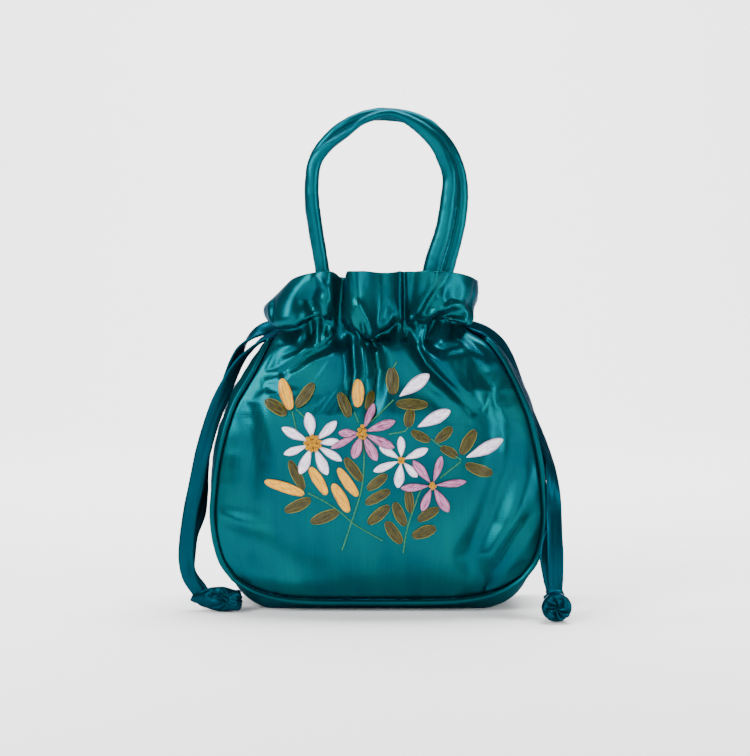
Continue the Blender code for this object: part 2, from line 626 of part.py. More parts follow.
def add_daisy(collection, name, middle, petals, tree, colour):
    """A daisy: petals joined by a small hub under its middle."""
    x, height, radius = middle
    rim = []
    faces = []
    hub = radius * 0.8
    for bearing, reach, width in sorted(petals):
        ends = []
        for turn in (HUB_TURN, -HUB_TURN):
            angle = math.radians(bearing + turn)
            ends.append(Vector((x + hub * math.cos(angle), height + hub * math.sin(angle))))
        upper, lower, far_upper, far_lower, tip = lens_points(
            x, height, bearing, hub, reach, width, 0.64
        )
        faces.append((ends[0], upper, lower, ends[1]))
        faces.append((upper, far_upper, far_lower, lower))
        faces.append((far_upper, tip, far_lower))
        rim += [ends[1], ends[0]]
    centre = Vector((x, height))
    for first, second in zip(rim, rim[1:] + rim[:1]):
        faces.append((centre, first, second))
    return add_ribbon_piece(collection, name, faces, tree, colour)


def add_centre(collection, name, middle, tree):
    """The raised cluster of knots in the middle of a daisy."""
    x, height, radius = middle
    foot = on_panel(tree, x, height, 2 * GAP + PETAL_THICKNESS)
    dome = bmesh.new()
    bmesh.ops.create_cone(
        dome, cap_ends=True, segments=CENTRE_SIDES, radius1=radius * MM, radius2=radius * 0.55 * MM,
        depth=CENTRE_HEIGHT * MM,
    )
    mesh = bpy.data.meshes.new(name)
    dome.to_mesh(mesh)
    dome.free()
    mesh.shade_smooth()
    obj = add_object(collection, name, mesh, GOLD_RIBBON, 0.6)
    outward = foot - on_panel(tree, x, height, GAP)
    obj.location = foot + outward.normalized() * CENTRE_HEIGHT / 2 * MM
    obj.rotation_euler = outward.to_track_quat("Z", "Y").to_euler()
    return obj


def clear_scene():
    for obj in list(bpy.data.objects):
        bpy.data.objects.remove(obj, do_unlink=True)


def add_embroidery(collection, panel):
    tree = panel_tree(panel)
    for name, (middle, petals) in DAISIES.items():
        colour = PINK_RIBBON if "pink" in name else WHITE_RIBBON
        add_daisy(collection, name, middle, petals, tree, colour)
        add_centre(collection, name + "_centre", middle, tree)
    for number, row in enumerate(WHITE_BUDS, 1):
        add_lens(collection, f"white_bud_{number}", row, tree, WHITE_RIBBON)
    for number, row in enumerate(GOLD_BUDS, 1):
        add_lens(collection, f"gold_bud_{number}", row, tree, GOLD_RIBBON)
    for number, row in enumerate(LEAVES, 1):
        add_lens(collection, f"leaf_{number:02d}", row, tree, OLIVE_RIBBON)


def main():
    clear_scene()
    bag = bpy.data.collections.new("Reticule")
    bpy.context.scene.collection.children.link(bag)
    panel = add_panel(bag, "front_panel", FRONT, FRONT_FOLDS, PANEL_COLUMNS, PANEL_ROW)
    add_panel(bag, "back_panel", BACK, back_folds(), BACK_COLUMNS, BACK_ROW)
    add_gusset(bag)
    for name, side in (("front", FRONT), ("back", BACK)):
        add_piping(bag, name + "_piping", side)
        add_band(bag, name + "_casing", side, CASING_RING, CASING_REACH, CASING_HEIGHTS,
                 CASING_WALL, CASING_COLUMNS)
        add_band(bag, name + "_tunnel_strap", side, TUNNEL_RING, TUNNEL_REACH, TUNNEL_HEIGHTS,
                 STRAP_THICKNESS, TUNNEL_COLUMNS)
    for name, route in (("front_handle", FRONT_HANDLE), ("back_handle", BACK_HANDLE)):
        add_tube(bag, name, smooth_route(route, HANDLE_SPACING), HANDLE_RADIUS, 2, TEAL)
    add_strap(bag, "left_string_front", LEFT_STRING_FRONT)
    add_strap(bag, "left_string_back", LEFT_STRING_BACK)
    add_strap(bag, "right_string_front", RIGHT_STRING_FRONT)
    add_strap(bag, "right_string_back", RIGHT_STRING_BACK)
    add_knot(bag, "left_knot", LEFT_KNOT_ENTRY, LEFT_KNOT_AIM, LEFT_KNOT_PROFILE)
    add_knot(bag, "right_knot", RIGHT_KNOT_ENTRY, RIGHT_KNOT_AIM, RIGHT_KNOT_PROFILE)
    bpy.context.view_layer.update()
    add_embroidery(bag, panel)


main()
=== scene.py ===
"""The looks of a teal satin drawstring handbag with ribbon embroidery, round its fixed frame.

Lengths are millimetres until a mesh is made. The bag faces -Y and +Z is up.
"""

import math
import random

import bmesh
import bpy
import numpy as np
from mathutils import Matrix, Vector, noise
from mathutils.bvhtree import BVHTree


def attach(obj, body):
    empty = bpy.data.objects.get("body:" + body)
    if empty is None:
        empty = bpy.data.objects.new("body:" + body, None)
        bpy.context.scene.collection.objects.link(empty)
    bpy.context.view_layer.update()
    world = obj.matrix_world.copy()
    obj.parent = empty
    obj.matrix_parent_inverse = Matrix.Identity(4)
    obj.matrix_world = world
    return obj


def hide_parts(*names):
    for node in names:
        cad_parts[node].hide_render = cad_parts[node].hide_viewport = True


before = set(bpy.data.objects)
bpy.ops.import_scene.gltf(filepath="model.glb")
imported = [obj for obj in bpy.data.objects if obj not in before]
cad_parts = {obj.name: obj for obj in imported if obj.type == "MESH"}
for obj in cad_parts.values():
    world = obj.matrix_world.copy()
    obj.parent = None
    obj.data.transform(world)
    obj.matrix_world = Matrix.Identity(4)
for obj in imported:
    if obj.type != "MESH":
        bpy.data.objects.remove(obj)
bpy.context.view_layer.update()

MM = 0.001
FRONT, BACK = -1, 1
BODY = "root"

# Camera: where it looks, how far off, how high, and its lens on a 36 mm sensor.
VIEW_TARGET, VIEW_DISTANCE, VIEW_ELEVATION, VIEW_LENS = (-1.1, 0.0, 127.5), 1100.0, 4.0, 93.4
# Lights, in metres and watts. Columns: name, place, aim, width and height, power.
LIGHTS = (
    ("key", (-0.9, -0.8, 0.8), (0, 0, 0.12), (0.6, 0.8), 27),
    ("strip", (1.0, -0.5, 0.24), (0, 0, 0.12), (0.3, 0.7), 9),
    ("front", (-0.1, -1.5, 0.3), (0, 0, 0.08), (1.4, 0.9), 13),
    ("top", (0.1, 0.6, 1.4), (0, 0, 0.12), (1.5, 0.9), 34),
    ("backdrop_wash", (0.0, 0.3, 1.7), (0.0, 1.7, 0.5), (2.4, 0.5), 120),
)

# Grain of the satin: one drawn thread, the length of a warp float, and a cloud of tone.
THREAD, FLOAT_LENGTH, CLOUD = 0.7, 26, (26, 40)

# Thickness of satin with its lining, and of a ribbon. A panel's cut is its width and height
# before it is gathered, and the gusset's is its width.
LINED_SATIN, RIBBON, PANEL_CUT, GUSSET_CUT = 0.9, 0.16, (190, 215), 52
# How far the panels and the gusset end from the seam line, and how far out the piping lies.
PANEL_SETBACK, GUSSET_SETBACK, PIPING_OFFSET, PIPING_RADIUS = 0.6, 0.3, 1.05, 1.5
SEAM_STEP, GUSSET_COLUMNS, PIPING_COLUMNS = 1.6, 48, 16
# The gusset ends inside the neck. Its section is flat in the middle and turns in at the piping,
# and below the corners it is the flat base.
GUSSET_TOP = 150
GUSSET_FLAT, GUSSET_POWER, BASE_SHARE = 0.62, 2.5, 0.75
# Handles: their seam lies at this turn round the tube, counted from the middle of the loop.
HANDLE_RADIUS, HANDLE_STEP, HANDLE_COLUMNS = 3.85, 1.3, 44
SEAM_TURN, SEAM_WIDTH, LOOP_MIDDLE = 0.9, 0.022, (2, 0, 222)
# Drawstrings: the strap narrows to a share of its width over the last length before a knot.
STRAP_WIDTH, STRAP_THICKNESS, STRAP_PINCH, PINCH_LENGTH = 8.8, 2.0, 0.78, 10.0
STRAP_STEP, STRAP_COLUMNS, STRAP_EXIT = 1.4, 36, 8
# Places of the strap's middle crease and of its two sewn edges, as shares of half its width.
STRAP_CREASE, STRAP_EDGES, CREASE_WIDTH = 0.14, 0.84, 0.07
KNOT_STEP, KNOT_COLUMNS, CAP_ROWS = 0.35, 96, 26
# Ribbon stitches: their width in the UV, how high they arch, and how far their selvedges curl.
PETAL_UV_WIDTH, STITCH_CROWN, STITCH_CURL, STITCH_GRID = 6.0, 0.5, 0.4, (12, 26)
STEM_STEP, STEM_STITCH, STEM_RADIUS = 0.8, 2.6, 0.46

# Edge of both panels, from the lower corner up to the ruffle. Columns: height, distance of the
# left and of the right edge from the middle plane, depth of the edge, depth at the middle of the
# panel, and squareness, which is 1 for a soft bulge and more for a drawn-up ring.
OUTLINE = (
    (19.5, 78.5, 79.8, 26.0, 26.0, 1.0),
    (27.0, 84.0, 85.6, 26.4, 31.5, 1.0),
    (36.0, 87.2, 89.2, 26.8, 35.0, 1.0),
    (46.0, 89.0, 91.0, 27.2, 37.2, 1.0),
    (57.0, 89.5, 91.4, 27.6, 38.4, 1.0),
    (80.0, 87.1, 89.3, 27.4, 38.6, 1.0),
    (95.0, 84.0, 86.3, 26.5, 37.8, 1.0),
    (108.0, 80.1, 82.9, 25.0, 36.2, 1.1),
    (117.0, 76.4, 79.4, 23.4, 34.2, 1.2),
    (128.0, 69.8, 74.4, 20.6, 31.0, 1.4),
    (138.0, 64.4, 69.0, 17.0, 29.6, 1.7),
    (148.0, 59.3, 61.2, 12.0, 28.0, 2.0),
    (156.0, 55.0, 49.4, 5.4, 26.6, 2.4),
    (161.0, 57.5, 49.6, 4.6, 26.6, 2.4),
    (166.0, 62.2, 52.4, 4.0, 28.2, 2.2),
    (172.0, 63.4, 55.4, 3.4, 30.6, 2.0),
    (179.0, 58.6, 57.2, 3.0, 32.0, 1.9),
    (188.0, 51.6, 57.0, 3.0, 32.6, 1.9),
)
# The seam along the base: its height in the middle, and its rise to the corners.
BOTTOM_SEAM, CORNER_RISE, LEFT_CORNER, RIGHT_CORNER = 6.3, 13.2, 78.5, 79.8
# How far up a panel the curve of that seam is felt.
BOTTOM_FADE = 55.0
# Heights of the drawn-up neck, of the ruffle's start and of its hem. The back's is lower.
NECK, RUFFLE_START, RUFFLE_TOP, BACK_RUFFLE_SHARE = 158.0, 166.0, 188.0, 0.86
# How far the hem falls at its ends, how far the neck is drawn in, and the back's extra bulge.
LEFT_DROP, RIGHT_DROP, NECK_RECESS, BACK_BULGE = 9.0, 6.0, 3.2, 2.6
# Limit of all folds together, what the ruffle adds to it and the neck takes off, and how much a
# fold pulls the hem down.
DEEPEST_FOLD, RUFFLE_EXTRA, NECK_SHALLOWS, TOP_DIP = 9.4, 2.6, 3.6, 0.15

# Folds of the front, each along a bent line. Columns: half width, then x, height and depth at
# each bend. A negative depth is a raised pleat.
FRONT_FOLDS = (
    # the lobes of the ruffle, from left to right, and the clefts between them
    (9.0, ((-46.0, 184, -2.0), (-48.0, 170, -3.4))),
    (5.0, ((-29.5, 190, -2.4), (-28.0, 172, -2.6))),
    (3.0, ((-20.5, 192, 16), (-20.2, 160, 13), (-21.0, 149, 8))),
    (1.3, ((-60.5, 176, 1.6), (-56.0, 172, 1.6), (-54.5, 165, 1.2))),
    (4.2, ((-33.5, 180, 1.5), (-37.5, 172, 5.0), (-33.5, 167, 6.5))),
    (2.0, ((-26.0, 180, 0.6), (-23.5, 162, 2.0))),
    (5.0, ((-12.5, 190, -3.4), (-11.0, 172, -4.2))),
    (7.0, ((4.0, 192, 9.0), (4.6, 170, 10.0), (6.0, 160, 6.0))),
    (1.6, ((14.8, 190, 3.0), (15.4, 172, 5.0), (15.6, 158, 9.0), (15.6, 150, 8.0))),
    (3.4, ((19.6, 190, 3.5), (18.0, 166, 6.0))),
    (6.5, ((30.0, 188, -3.4), (32.0, 174, -4.4))),
    (2.6, ((38.0, 186, 1.0), (22.0, 162, 5.0))),
    (2.2, ((48.0, 170, 2.5), (40.0, 167, 5.0), (33.0, 162, 5.0), (28.5, 150, 7.0))),
    (5.0, ((48.0, 178, -1.6), (46.0, 170, -2.4))),
    # the turned hem at the right end
    (0.7, ((54.0, 184, 0.2), (52.6, 174, 1.4), (47.0, 165, 1.6), (38.0, 159, 1.4))),
    # the swag under the middle of the ruffle
    (2.0, ((-17.0, 168, 2.5), (-12.5, 159, 4.5), (-3.0, 153.5, 6.0), (-0.6, 147, 6.0))),
    (1.8, ((-7.5, 166, 3.0), (-3.0, 155, 5.0))),
    (2.0, ((-0.5, 166.5, 3.0), (5.6, 156, 5.5))),
    # rolled rims of the lobes
    (1.9, ((-60.5, 172, -1.6), (-53.5, 161.5, -2.4), (-45, 160.5, -2.4), (-33.0, 166.5, -2.4))),
    (1.5, ((-33.0, 185, -1.2), (-26.0, 178, -1.6), (-23.4, 168, -2.0), (-22.6, 157, -1.6))),
    (1.6, ((-19.2, 170, -2.0), (-14.6, 160.5, -2.6), (-5.0, 153.0, -2.8), (-2.2, 147, -1.8))),
    (1.4, ((-10.0, 172, -1.6), (-2.4, 166, -2.4), (5.0, 158.5, -2.6), (5.8, 155.5, -1.8))),
    (1.3, ((12.4, 190, -2.6), (12.4, 174, -2.8), (13.6, 160, -2.4))),
    (1.8, ((17.5, 160, -2.4), (27.5, 176, -2.0), (31.0, 186, -1.0))),
    (1.6, ((29.0, 165, -2.0), (39.5, 170.5, -2.4), (46.0, 170, -2.0), (49.5, 166, -1.6))),
    (1.6, ((36.0, 161.5, -1.6), (44.0, 161.0, -2.0), (51.0, 167, -1.6))),
    # puckers of the tunnel
    (2.6, ((-46.0, 162, 3.0), (-45.0, 150, 1.6))),
    (2.4, ((-39.0, 163, 4.0), (-35.5, 148, 4.0))),
    (1.7, ((-31.6, 165, 3.0), (-29.6, 156, 2.6), (-31.0, 149, 2.4))),
    (1.6, ((-26.0, 162, 2.2), (-27.5, 152, 1.6))),
    (2.6, ((8.0, 161, 3.0), (7.0, 152, 1.6))),
    (1.9, ((24.8, 163, 3.0), (23.4, 149, 3.0))),
    (2.2, ((33.6, 161, 5.0), (31.5, 150, 3.5))),
    (1.6, ((43.0, 162, 4.0), (41.0, 151, 3.0))),
    # the creases that run down from the tunnel
    (2.6, ((-21.3, 151, 6.0), (-27.8, 145.6, 5.5), (-38.5, 141.2, 4.0), (-51, 133, 1.4))),
    (2.0, ((-51.5, 132.6, 1.0), (-61.5, 131.4, 1.5))),
    (3.2, ((-14.3, 153, 9.0), (-12.6, 134, 6.0), (-14.5, 120, 1.6))),
    (4.0, ((-1.5, 147, 8.0), (0.8, 134, 7.0), (-1.8, 117, 2.6), (-4, 106, 0.4))),
    (3.0, ((18.6, 154, 8.0), (22.4, 145, 7.0), (27, 137.5, 5.5), (40, 125.6, 3.6),
           (52, 112, 1.2))),
    (2.6, ((28.4, 147, 4.0), (36, 144.4, 3.0), (46, 146, 1.6))),
    (3.0, ((44.0, 154, 2.0), (53.0, 149, 3.4), (61.0, 142, 1.6))),
    (2.4, ((-37.5, 151, 4.5), (-44.0, 145, 2.5), (-54, 141, 0.6))),
    # the raised knot of cloth under the middle, and the pouch at the upper right
    (3.0, ((1.5, 151, -3.0), (2.2, 148, -3.0))),
    (2.6, ((-7.0, 147, -1.6), (-6.0, 132, -1.2))),
    (10.0, ((38.0, 138, -3.4), (50.0, 123, -5.4))),
    (6.5, ((64.0, 132, 2.0), (70.0, 114, 3.6), (72.0, 98, 2.4))),
    (9.0, ((-38.0, 148, -1.0), (-52.0, 128, -1.8))),
    # broad slack shapes of the body
    (8.0, ((77.0, 104, 2.0), (69.0, 76, 6.4), (61.0, 52, 6.8), (52.0, 33, 5.4), (55.0, 14, 2.4))),
    (6.0, ((84.0, 76, -1.6), (74.0, 52, -3.0), (63.0, 33, -2.4))),
    (4.5, ((88.0, 57, 1.4), (77.0, 43, 3.0), (67.0, 28, 2.4), (63.0, 17, 1.2))),
    (1.2, ((58.5, 22, 1.0), (61.5, 16.5, 1.7), (60.5, 11, 1.4))),
    (7.0, ((-72.0, 112, 2.0), (-66.0, 84, 1.6), (-68.0, 62, 0.6))),
    (6.0, ((-61.0, 120, -1.6), (-58.0, 88, -1.4), (-60.0, 64, -0.4))),
    (4.5, ((-90.0, 56, -2.0), (-74.0, 50, -2.2), (-56.0, 46, -0.6))),
    (8.0, ((-88.0, 42, 2.6), (-62.0, 36, 2.4), (-34.0, 24, 1.4))),
    (6.0, ((-70.0, 20, -1.6), (-46.0, 14, -1.6))),
    (13.0, ((0.0, 60, -1.0), (30.0, 30, -1.4))),
)
# Where the ruffle slumps. Columns: x, half width, how far down, how far out.
FRONT_SLUMPS = (
    (-46.0, 12.0, 6.0, 6.0),
    (-30.0, 5.0, 3.0, 5.0),
    (-13.0, 5.0, 5.0, 6.0),
    (-4.0, 6.0, 8.5, 7.0),
    (6.0, 4.0, 3.0, 5.0),
    (24.0, 6.0, 2.0, 4.0),
    (36.0, 4.0, 1.0, 4.0),
    (45.0, 7.0, 6.0, 5.4),
)
BACK_SLUMPS = (
    (-40.0, 9.0, 3.0, 3.0),
    (-14.0, 7.0, 2.6, 2.4),
    (10.0, 7.0, 3.0, 2.8),
    (34.0, 8.0, 3.0, 3.0),
)
SLUMP_HEIGHT, SLUMP_SPREAD = 165.0, 6.0
# How far the drawn-up neck line wanders up or down. Columns: x, half width, rise.
FRONT_WANDERS = ((-50.0, 8.0, -1.5), (-32.0, 7.0, 5.0), (-2.5, 9.0, -5.5), (16.0, 5.0, 2.0),
                 (38.0, 8.0, 3.0))
WANDER_HEIGHT, WANDER_SPREAD = 158.0, 9.0
# The notch where the deepest cleft meets the hem: x, half width, depth.
HEM_NOTCH = (-20.4, 2.4, 3.4)
# Gathers of the back: spacing and number.
GATHER_PITCH, GATHER_COUNT = 11.0, 9

# Cloth simulation of the panels: the cloth, the share of gravity it feels, the longest move it
# may make, how much too full it is cut, and its frames.
SLACK_SATIN = {
    "quality": 6, "mass": 0.12, "tension_stiffness": 12, "compression_stiffness": 12,
    "shear_stiffness": 5, "bending_stiffness": 1.5, "tension_damping": 8,
    "compression_damping": 8, "shear_damping": 8, "bending_damping": 1, "air_damping": 3,
    "pin_stiffness": 0.35,
}
GRAVITY_SHARE, SETTLE_CAP, PANEL_GROWTH, PANEL_STEPS = 0.06, 6.0, 0.012, 12
# How firmly a panel stays where it was shaped: in the middle, low down and at the neck.
PANEL_HOLD, LOW_HOLD, NECK_HOLD = 0.1, 0.3, 0.6
SKIP_QUICK = ("sewn_back_panel",)
# How much of the growth each height gets.
PANEL_SLACK = ((0, 0.1), (60, 0.0), (95, 0.03), (115, 0.1), (130, 0.2), (150, 0.45), (160, 0.4),
               (175, 0.15), (190, 0.1))

# Small puckers where a panel is eased into the piping: typical spacing, depth and reach.
PUCKER_PITCH, PUCKER_DEPTH, PUCKER_REACH = 6.5, 0.55, 9.0

# Fullness of the gusset beyond the seam. Columns: height, left, right.
GUSSET_FULLNESS = (
    (19.5, 2.8, 4.6),
    (40.0, 2.6, 2.6),
    (57.0, 3.0, 2.2),
    (80.0, 4.4, 1.6),
    (104.0, 5.4, 1.0),
    (126.0, 5.2, 0.8),
    (139.0, 3.8, 0.8),
    (151.0, 1.4, 0.8),
)

# The drawn-up rings in the neck: half length and half depth, then how much of the half length the
# strip takes up.
RING_MIDDLE, RING_POWER = -3.0, 2.5
TUNNEL_RING, CASING_RING = (47.0, 15.9), (44.6, 13.6)
TUNNEL_REACH, CASING_REACH = 0.84, 0.94
TUNNEL_HEIGHT, TUNNEL_POINTS = 156.0, 24
CASING_HEIGHTS, CASING_GRID, CASING_CUT, CASING_GATHERS = (148.5, 165.0), (140, 10), 120, 17

# Middle lines of the handles. Columns: x, y, height.
FRONT_HANDLE = (
    (-27.0, -6.4, 150), (-29.0, -6.6, 168), (-30.5, -7.2, 188), (-33.5, -7.4, 208),
    (-36.0, -7.0, 227), (-35.6, -6.4, 242), (-33.5, -5.8, 249.6), (-27.4, -5.3, 256.2),
    (-17.4, -4.9, 263.2), (-7.2, -4.7, 270.8), (7.4, -4.6, 274.6), (20.6, -4.7, 269.2),
    (32.0, -4.9, 259.4), (38.4, -5.3, 247.2), (40.4, -5.7, 239.4), (39.8, -6.3, 230),
    (36.8, -7.0, 211), (30.6, -7.0, 190), (28.0, -6.4, 168), (26.0, -6.2, 150),
)
BACK_HANDLE = (
    (-28.0, 6.4, 150), (-29.5, 6.6, 168), (-30.6, 7.2, 189), (-34.5, 7.4, 208),
    (-36.8, 7.0, 226), (-36.2, 6.4, 242), (-33.0, 5.8, 253.6), (-25.2, 5.4, 263.6),
    (-16.4, 5.0, 269.8), (-6.8, 4.9, 273.6), (5.0, 4.8, 274.7), (18.0, 4.8, 272.8),
    (29.7, 4.6, 267.5), (39.5, 5.2, 257), (45.6, 6.0, 244), (47.4, 6.6, 231),
    (46.4, 6.8, 217), (43.7, 6.6, 204), (39.2, 6.0, 188), (34.4, 4.4, 168), (32.0, 4.2, 150),
)

# How wide each handle is across its loop, against its radius. Columns: share of its length, width.
HANDLE_FLATS = {
    "front_handle": ((0, 1.0), (0.34, 1.0), (0.39, 0.66), (0.44, 0.52), (0.49, 0.66), (0.54, 0.76),
                     (0.60, 1.06), (0.70, 1.12), (0.78, 1.14), (0.86, 1.26), (1, 1.3)),
    "back_handle": ((0, 1.0), (0.32, 0.94), (0.38, 0.74), (0.44, 0.8), (0.5, 0.96), (0.8, 1.0),
                    (0.88, 1.1), (1, 1.1)),
}

# Routes of the drawstrings. Columns: x, y, height, then the direction of the strap's width.
LEFT_STRING_FRONT = (
    (-44.0, -9.8, 156, 0, 0, 1), (-48.2, -6.8, 156, 0, 0.3, 1), (-53.0, -4.5, 154.5, 0, 0.8, 0.8),
    (-58.4, -4.8, 151.7, 0.1, 1, 0.35), (-64.4, -6.2, 148.9, 0.2, 1, 0.3),
    (-70.4, -8.2, 143.8, 0.4, 1, 0.25), (-76.6, -10.4, 136.6, 0.65, 0.8, 0.3),
    (-82.6, -12.2, 125.6, 0.85, 0.5, 0.3), (-88.4, -13.5, 112.8, 0.95, 0.25, 0.25),
    (-93.0, -14.5, 100, 1, 0.1, 0.2), (-95.9, -15.5, 89, 1, 0, 0.2),
    (-98.2, -16.5, 79, 1, 0, 0.2), (-100.2, -17.5, 69, 1, 0, 0.15),
    (-102.6, -18.5, 58, 1, 0, 0.1), (-104.3, -19.5, 47, 1, 0, 0), (-105.4, -20.4, 37, 1, 0, 0.1),
    (-105.6, -21.1, 28, 1, -0.1, 0.15), (-104.4, -21.9, 20.5, 0.95, -0.3, 0.3),
    (-102.3, -22.6, 15.4, 0.85, -0.4, 0.4), (-100.0, -22.8, 11.6, 0.75, -0.4, 0.5),
    (-98.6, -22.8, 9.4, 0.75, -0.3, 0.5),
)
LEFT_STRING_BACK = (
    (-44.0, 9.8, 156, 0, 0, 1), (-48.2, 6.6, 156, 0, 0, 1), (-53.0, 3.6, 156.2, 0, 0, 1),
    (-58.5, 3.8, 155.8, 0, 0.3, 1), (-64.5, 4.2, 154.4, 0.1, 0.6, 0.8),
    (-70.0, 4.4, 151.2, 0.3, 0.7, 0.6), (-75.0, 4.0, 145.8, 0.5, 0.6, 0.5),
    (-79.4, 3.0, 138.2, 0.6, 0.7, 0.3), (-83.6, 1.6, 128.4, 0.5, 0.8, 0.2),
    (-87.8, 0.4, 117, 0.4, 0.9, 0.1), (-91.0, -0.6, 106, 0.3, 0.95, 0),
    (-93.4, -1.6, 95, 0.2, 1, 0), (-95.0, -2.6, 84, 0.15, 1, 0), (-96.0, -4.6, 73, 0.2, 1, 0),
    (-97.4, -7.6, 62, 0.5, 0.85, 0), (-99.4, -11, 52, 0.8, 0.6, 0),
    (-103.4, -14.4, 42, 0.95, 0.3, 0), (-104.8, -16.4, 32, 1, 0.1, 0),
    (-105.2, -17.9, 23, 1, 0, 0.2), (-102.8, -18.9, 16.8, 0.9, 0, 0.4),
    (-97.6, -20.2, 11.4, 0.85, 0, 0.5), (-96.0, -21.0, 9.0, 0.85, 0, 0.5),
)
RIGHT_STRING_FRONT = (
    (38.0, -9.8, 156, 0, 0, 1), (42.2, -6.8, 156, 0, -0.3, 1), (46.9, -4.7, 155.4, 0, -0.8, 0.8),
    (52.8, -4.8, 154.0, -0.1, -1, 0.3), (59.0, -5.4, 151.9, -0.15, -1, 0.2),
    (65.0, -6.4, 147.6, -0.2, -1, 0.2), (70.2, -7.4, 141, -0.3, -1, 0.2),
    (75.4, -8.7, 132.2, -0.35, -1, 0.2), (80.3, -10, 122, -0.3, -1, 0.1),
    (84.9, -12, 111.5, -0.3, -1, 0), (88.9, -15, 100.4, -0.5, -0.9, 0),
    (93.0, -19.6, 89.3, -0.5, -0.85, 0), (95.6, -25, 79, -0.6, -0.8, 0),
    (96.6, -29.6, 68, -0.85, -0.5, 0), (96.6, -32.5, 57, -1, -0.1, 0), (96.8, -37, 46, -1, 0, 0),
    (96.9, -40.6, 36, -1, 0, 0), (96.8, -43.2, 27.5, -1, 0, 0), (96.8, -44.6, 20, -1, 0, 0),
    (96.8, -45.8, 12, -1, 0, 0),
)
RIGHT_STRING_BACK = (
    (38.0, 9.8, 156, 0, 0, 1), (42.2, 6.6, 156, 0, 0, 1), (46.9, 3.6, 156.2, 0, 0.1, 1),
    (52.6, 3.8, 155.4, 0.1, 0.3, 1), (59.4, 4.4, 153.2, 0.3, 0.4, 0.9),
    (66.0, 4.8, 149.0, 0.5, 0.5, 0.7), (71.4, 4.4, 143.0, 0.5, 0.6, 0.5),
    (76.4, 3.8, 134.4, 0.4, 0.8, 0.3), (80.8, 2.8, 124.6, 0.3, 0.95, 0.1),
    (84.8, 1.4, 115.5, 0.2, 1, 0), (88.2, 0.2, 105, 0.1, 1, 0), (91.2, -2, 95, 0, 1, 0),
    (93.4, -5.4, 85, 0, 1, 0), (94.8, -10, 75, 0, 1, 0), (95.8, -16, 65, 0.2, 0.95, 0),
    (96.4, -22.5, 56, 0.5, 0.85, 0), (96.6, -30.4, 47, 0.8, 0.6, 0),
    (93.6, -34.6, 39, 0.9, 0.4, 0), (92.8, -38.0, 31.5, 1, 0.2, 0), (94.2, -40.2, 24, 1, 0, 0),
    (95.6, -41.8, 16, 1, 0, 0), (96.4, -44.2, 10.4, 1, 0, 0),
)

# Knots in the drawstrings' ends, as a bundle of satin along a bent line: place, direction of the
# bundle's width, half width, half depth.
LEFT_KNOT = (
    (-103.4, -21.9, 5.6, 0.5, 0, 1, 0.4, 0.4), (-101.8, -22.1, 6.2, 0.5, 0, 1, 2.1, 1.8),
    (-99.6, -22.5, 7.0, 0.3, 0, 1, 3.5, 3.0), (-96.6, -23.1, 7.2, 0.1, 0, 1, 4.8, 4.4),
    (-92.4, -23.9, 7.2, 0, 0, 1, 5.9, 5.8), (-87.4, -24.9, 7.0, 0, 0, 1, 6.8, 6.7),
    (-83.4, -25.7, 6.8, 0, 0, 1, 6.7, 6.7), (-80.4, -26.3, 6.6, 0, 0, 1, 6.1, 6.2),
    (-78.3, -26.8, 6.5, 0, 0, 1, 5.7, 5.8), (-76.4, -27.2, 6.6, 0, 0, 1, 5.7, 5.8),
)
# Its creases: half width, then distance along, angle from its upper side towards the front in
# degrees, and depth.
LEFT_KNOT_CREASES = (
    # the eye-shaped fold and its raised lips
    (1.3, ((13.0, 58, 1.4), (15.0, 50, 2.8), (17.6, 54, 3.0), (20.0, 72, 2.0))),
    (0.6, ((11.6, 64, 0.8), (14.2, 78, 1.1), (17.6, 80, 1.2), (20.2, 80, 1.4))),
    (0.8, ((11.4, 56, -0.5), (14.6, 28, -0.8), (18.4, 34, -0.9), (21.0, 62, -0.4))),
    (0.7, ((11.6, 70, -0.5), (14.6, 92, -0.8), (18.6, 92, -0.7))),
    # creases that meet at the pinch
    (0.8, ((12.5, 16, 0.6), (17.0, 34, 1.4), (21.2, 78, 1.8))),
    (0.7, ((16.0, 4, 0.8), (20.0, 38, 1.6), (22.0, 76, 1.8))),
    (0.8, ((14.0, 132, 0.7), (18.5, 116, 1.4), (21.6, 92, 1.8))),
    (0.7, ((18.0, 150, 0.9), (21.2, 118, 1.6), (22.4, 94, 1.8))),
    # pleats that fan out to the raw end
    (0.6, ((21.6, 84, 1.6), (27.5, 20, 1.0))),
    (0.55, ((21.8, 84, 1.6), (27.5, 52, 1.1))),
    (0.55, ((22.0, 86, 1.6), (27.5, 78, 1.1))),
    (0.55, ((21.8, 88, 1.6), (27.5, 104, 1.1))),
    (0.6, ((21.6, 90, 1.6), (27.5, 136, 1.0))),
    # long soft creases of the tapered end
    (1.0, ((1.0, 60, 0.4), (8.0, 36, 0.7), (13.0, 20, 0.2))),
    (1.2, ((2.0, 110, 0.3), (9.0, 118, 0.5), (15.0, 128, 0.2))),
    # the back
    (1.0, ((8.0, -60, 1.2), (16.0, -80, 1.4), (26.0, -70, 1.0))),
    (1.0, ((12.0, -120, 1.2), (20.0, -100, 1.4), (26.0, -130, 1.0))),
)
RIGHT_KNOT = (
    (96.4, -45.0, 15.8, 1, 0, 0, 4.2, 1.4), (96.2, -45.6, 14.0, 1, 0, 0, 5.2, 3.0),
    (96.0, -46.6, 12.1, 1, 0, 0.05, 6.0, 4.4), (96.0, -48.6, 10.6, 1, 0, 0.1, 6.3, 5.8),
    (96.1, -51.2, 9.4, 1, 0, 0.1, 6.8, 6.5), (96.2, -54.2, 8.6, 1, 0, 0.1, 7.6, 7.3),
    (96.3, -57.2, 8.1, 1, 0, 0.1, 8.1, 7.5), (96.3, -59.4, 7.9, 1, 0, 0.1, 7.5, 7.0),
)
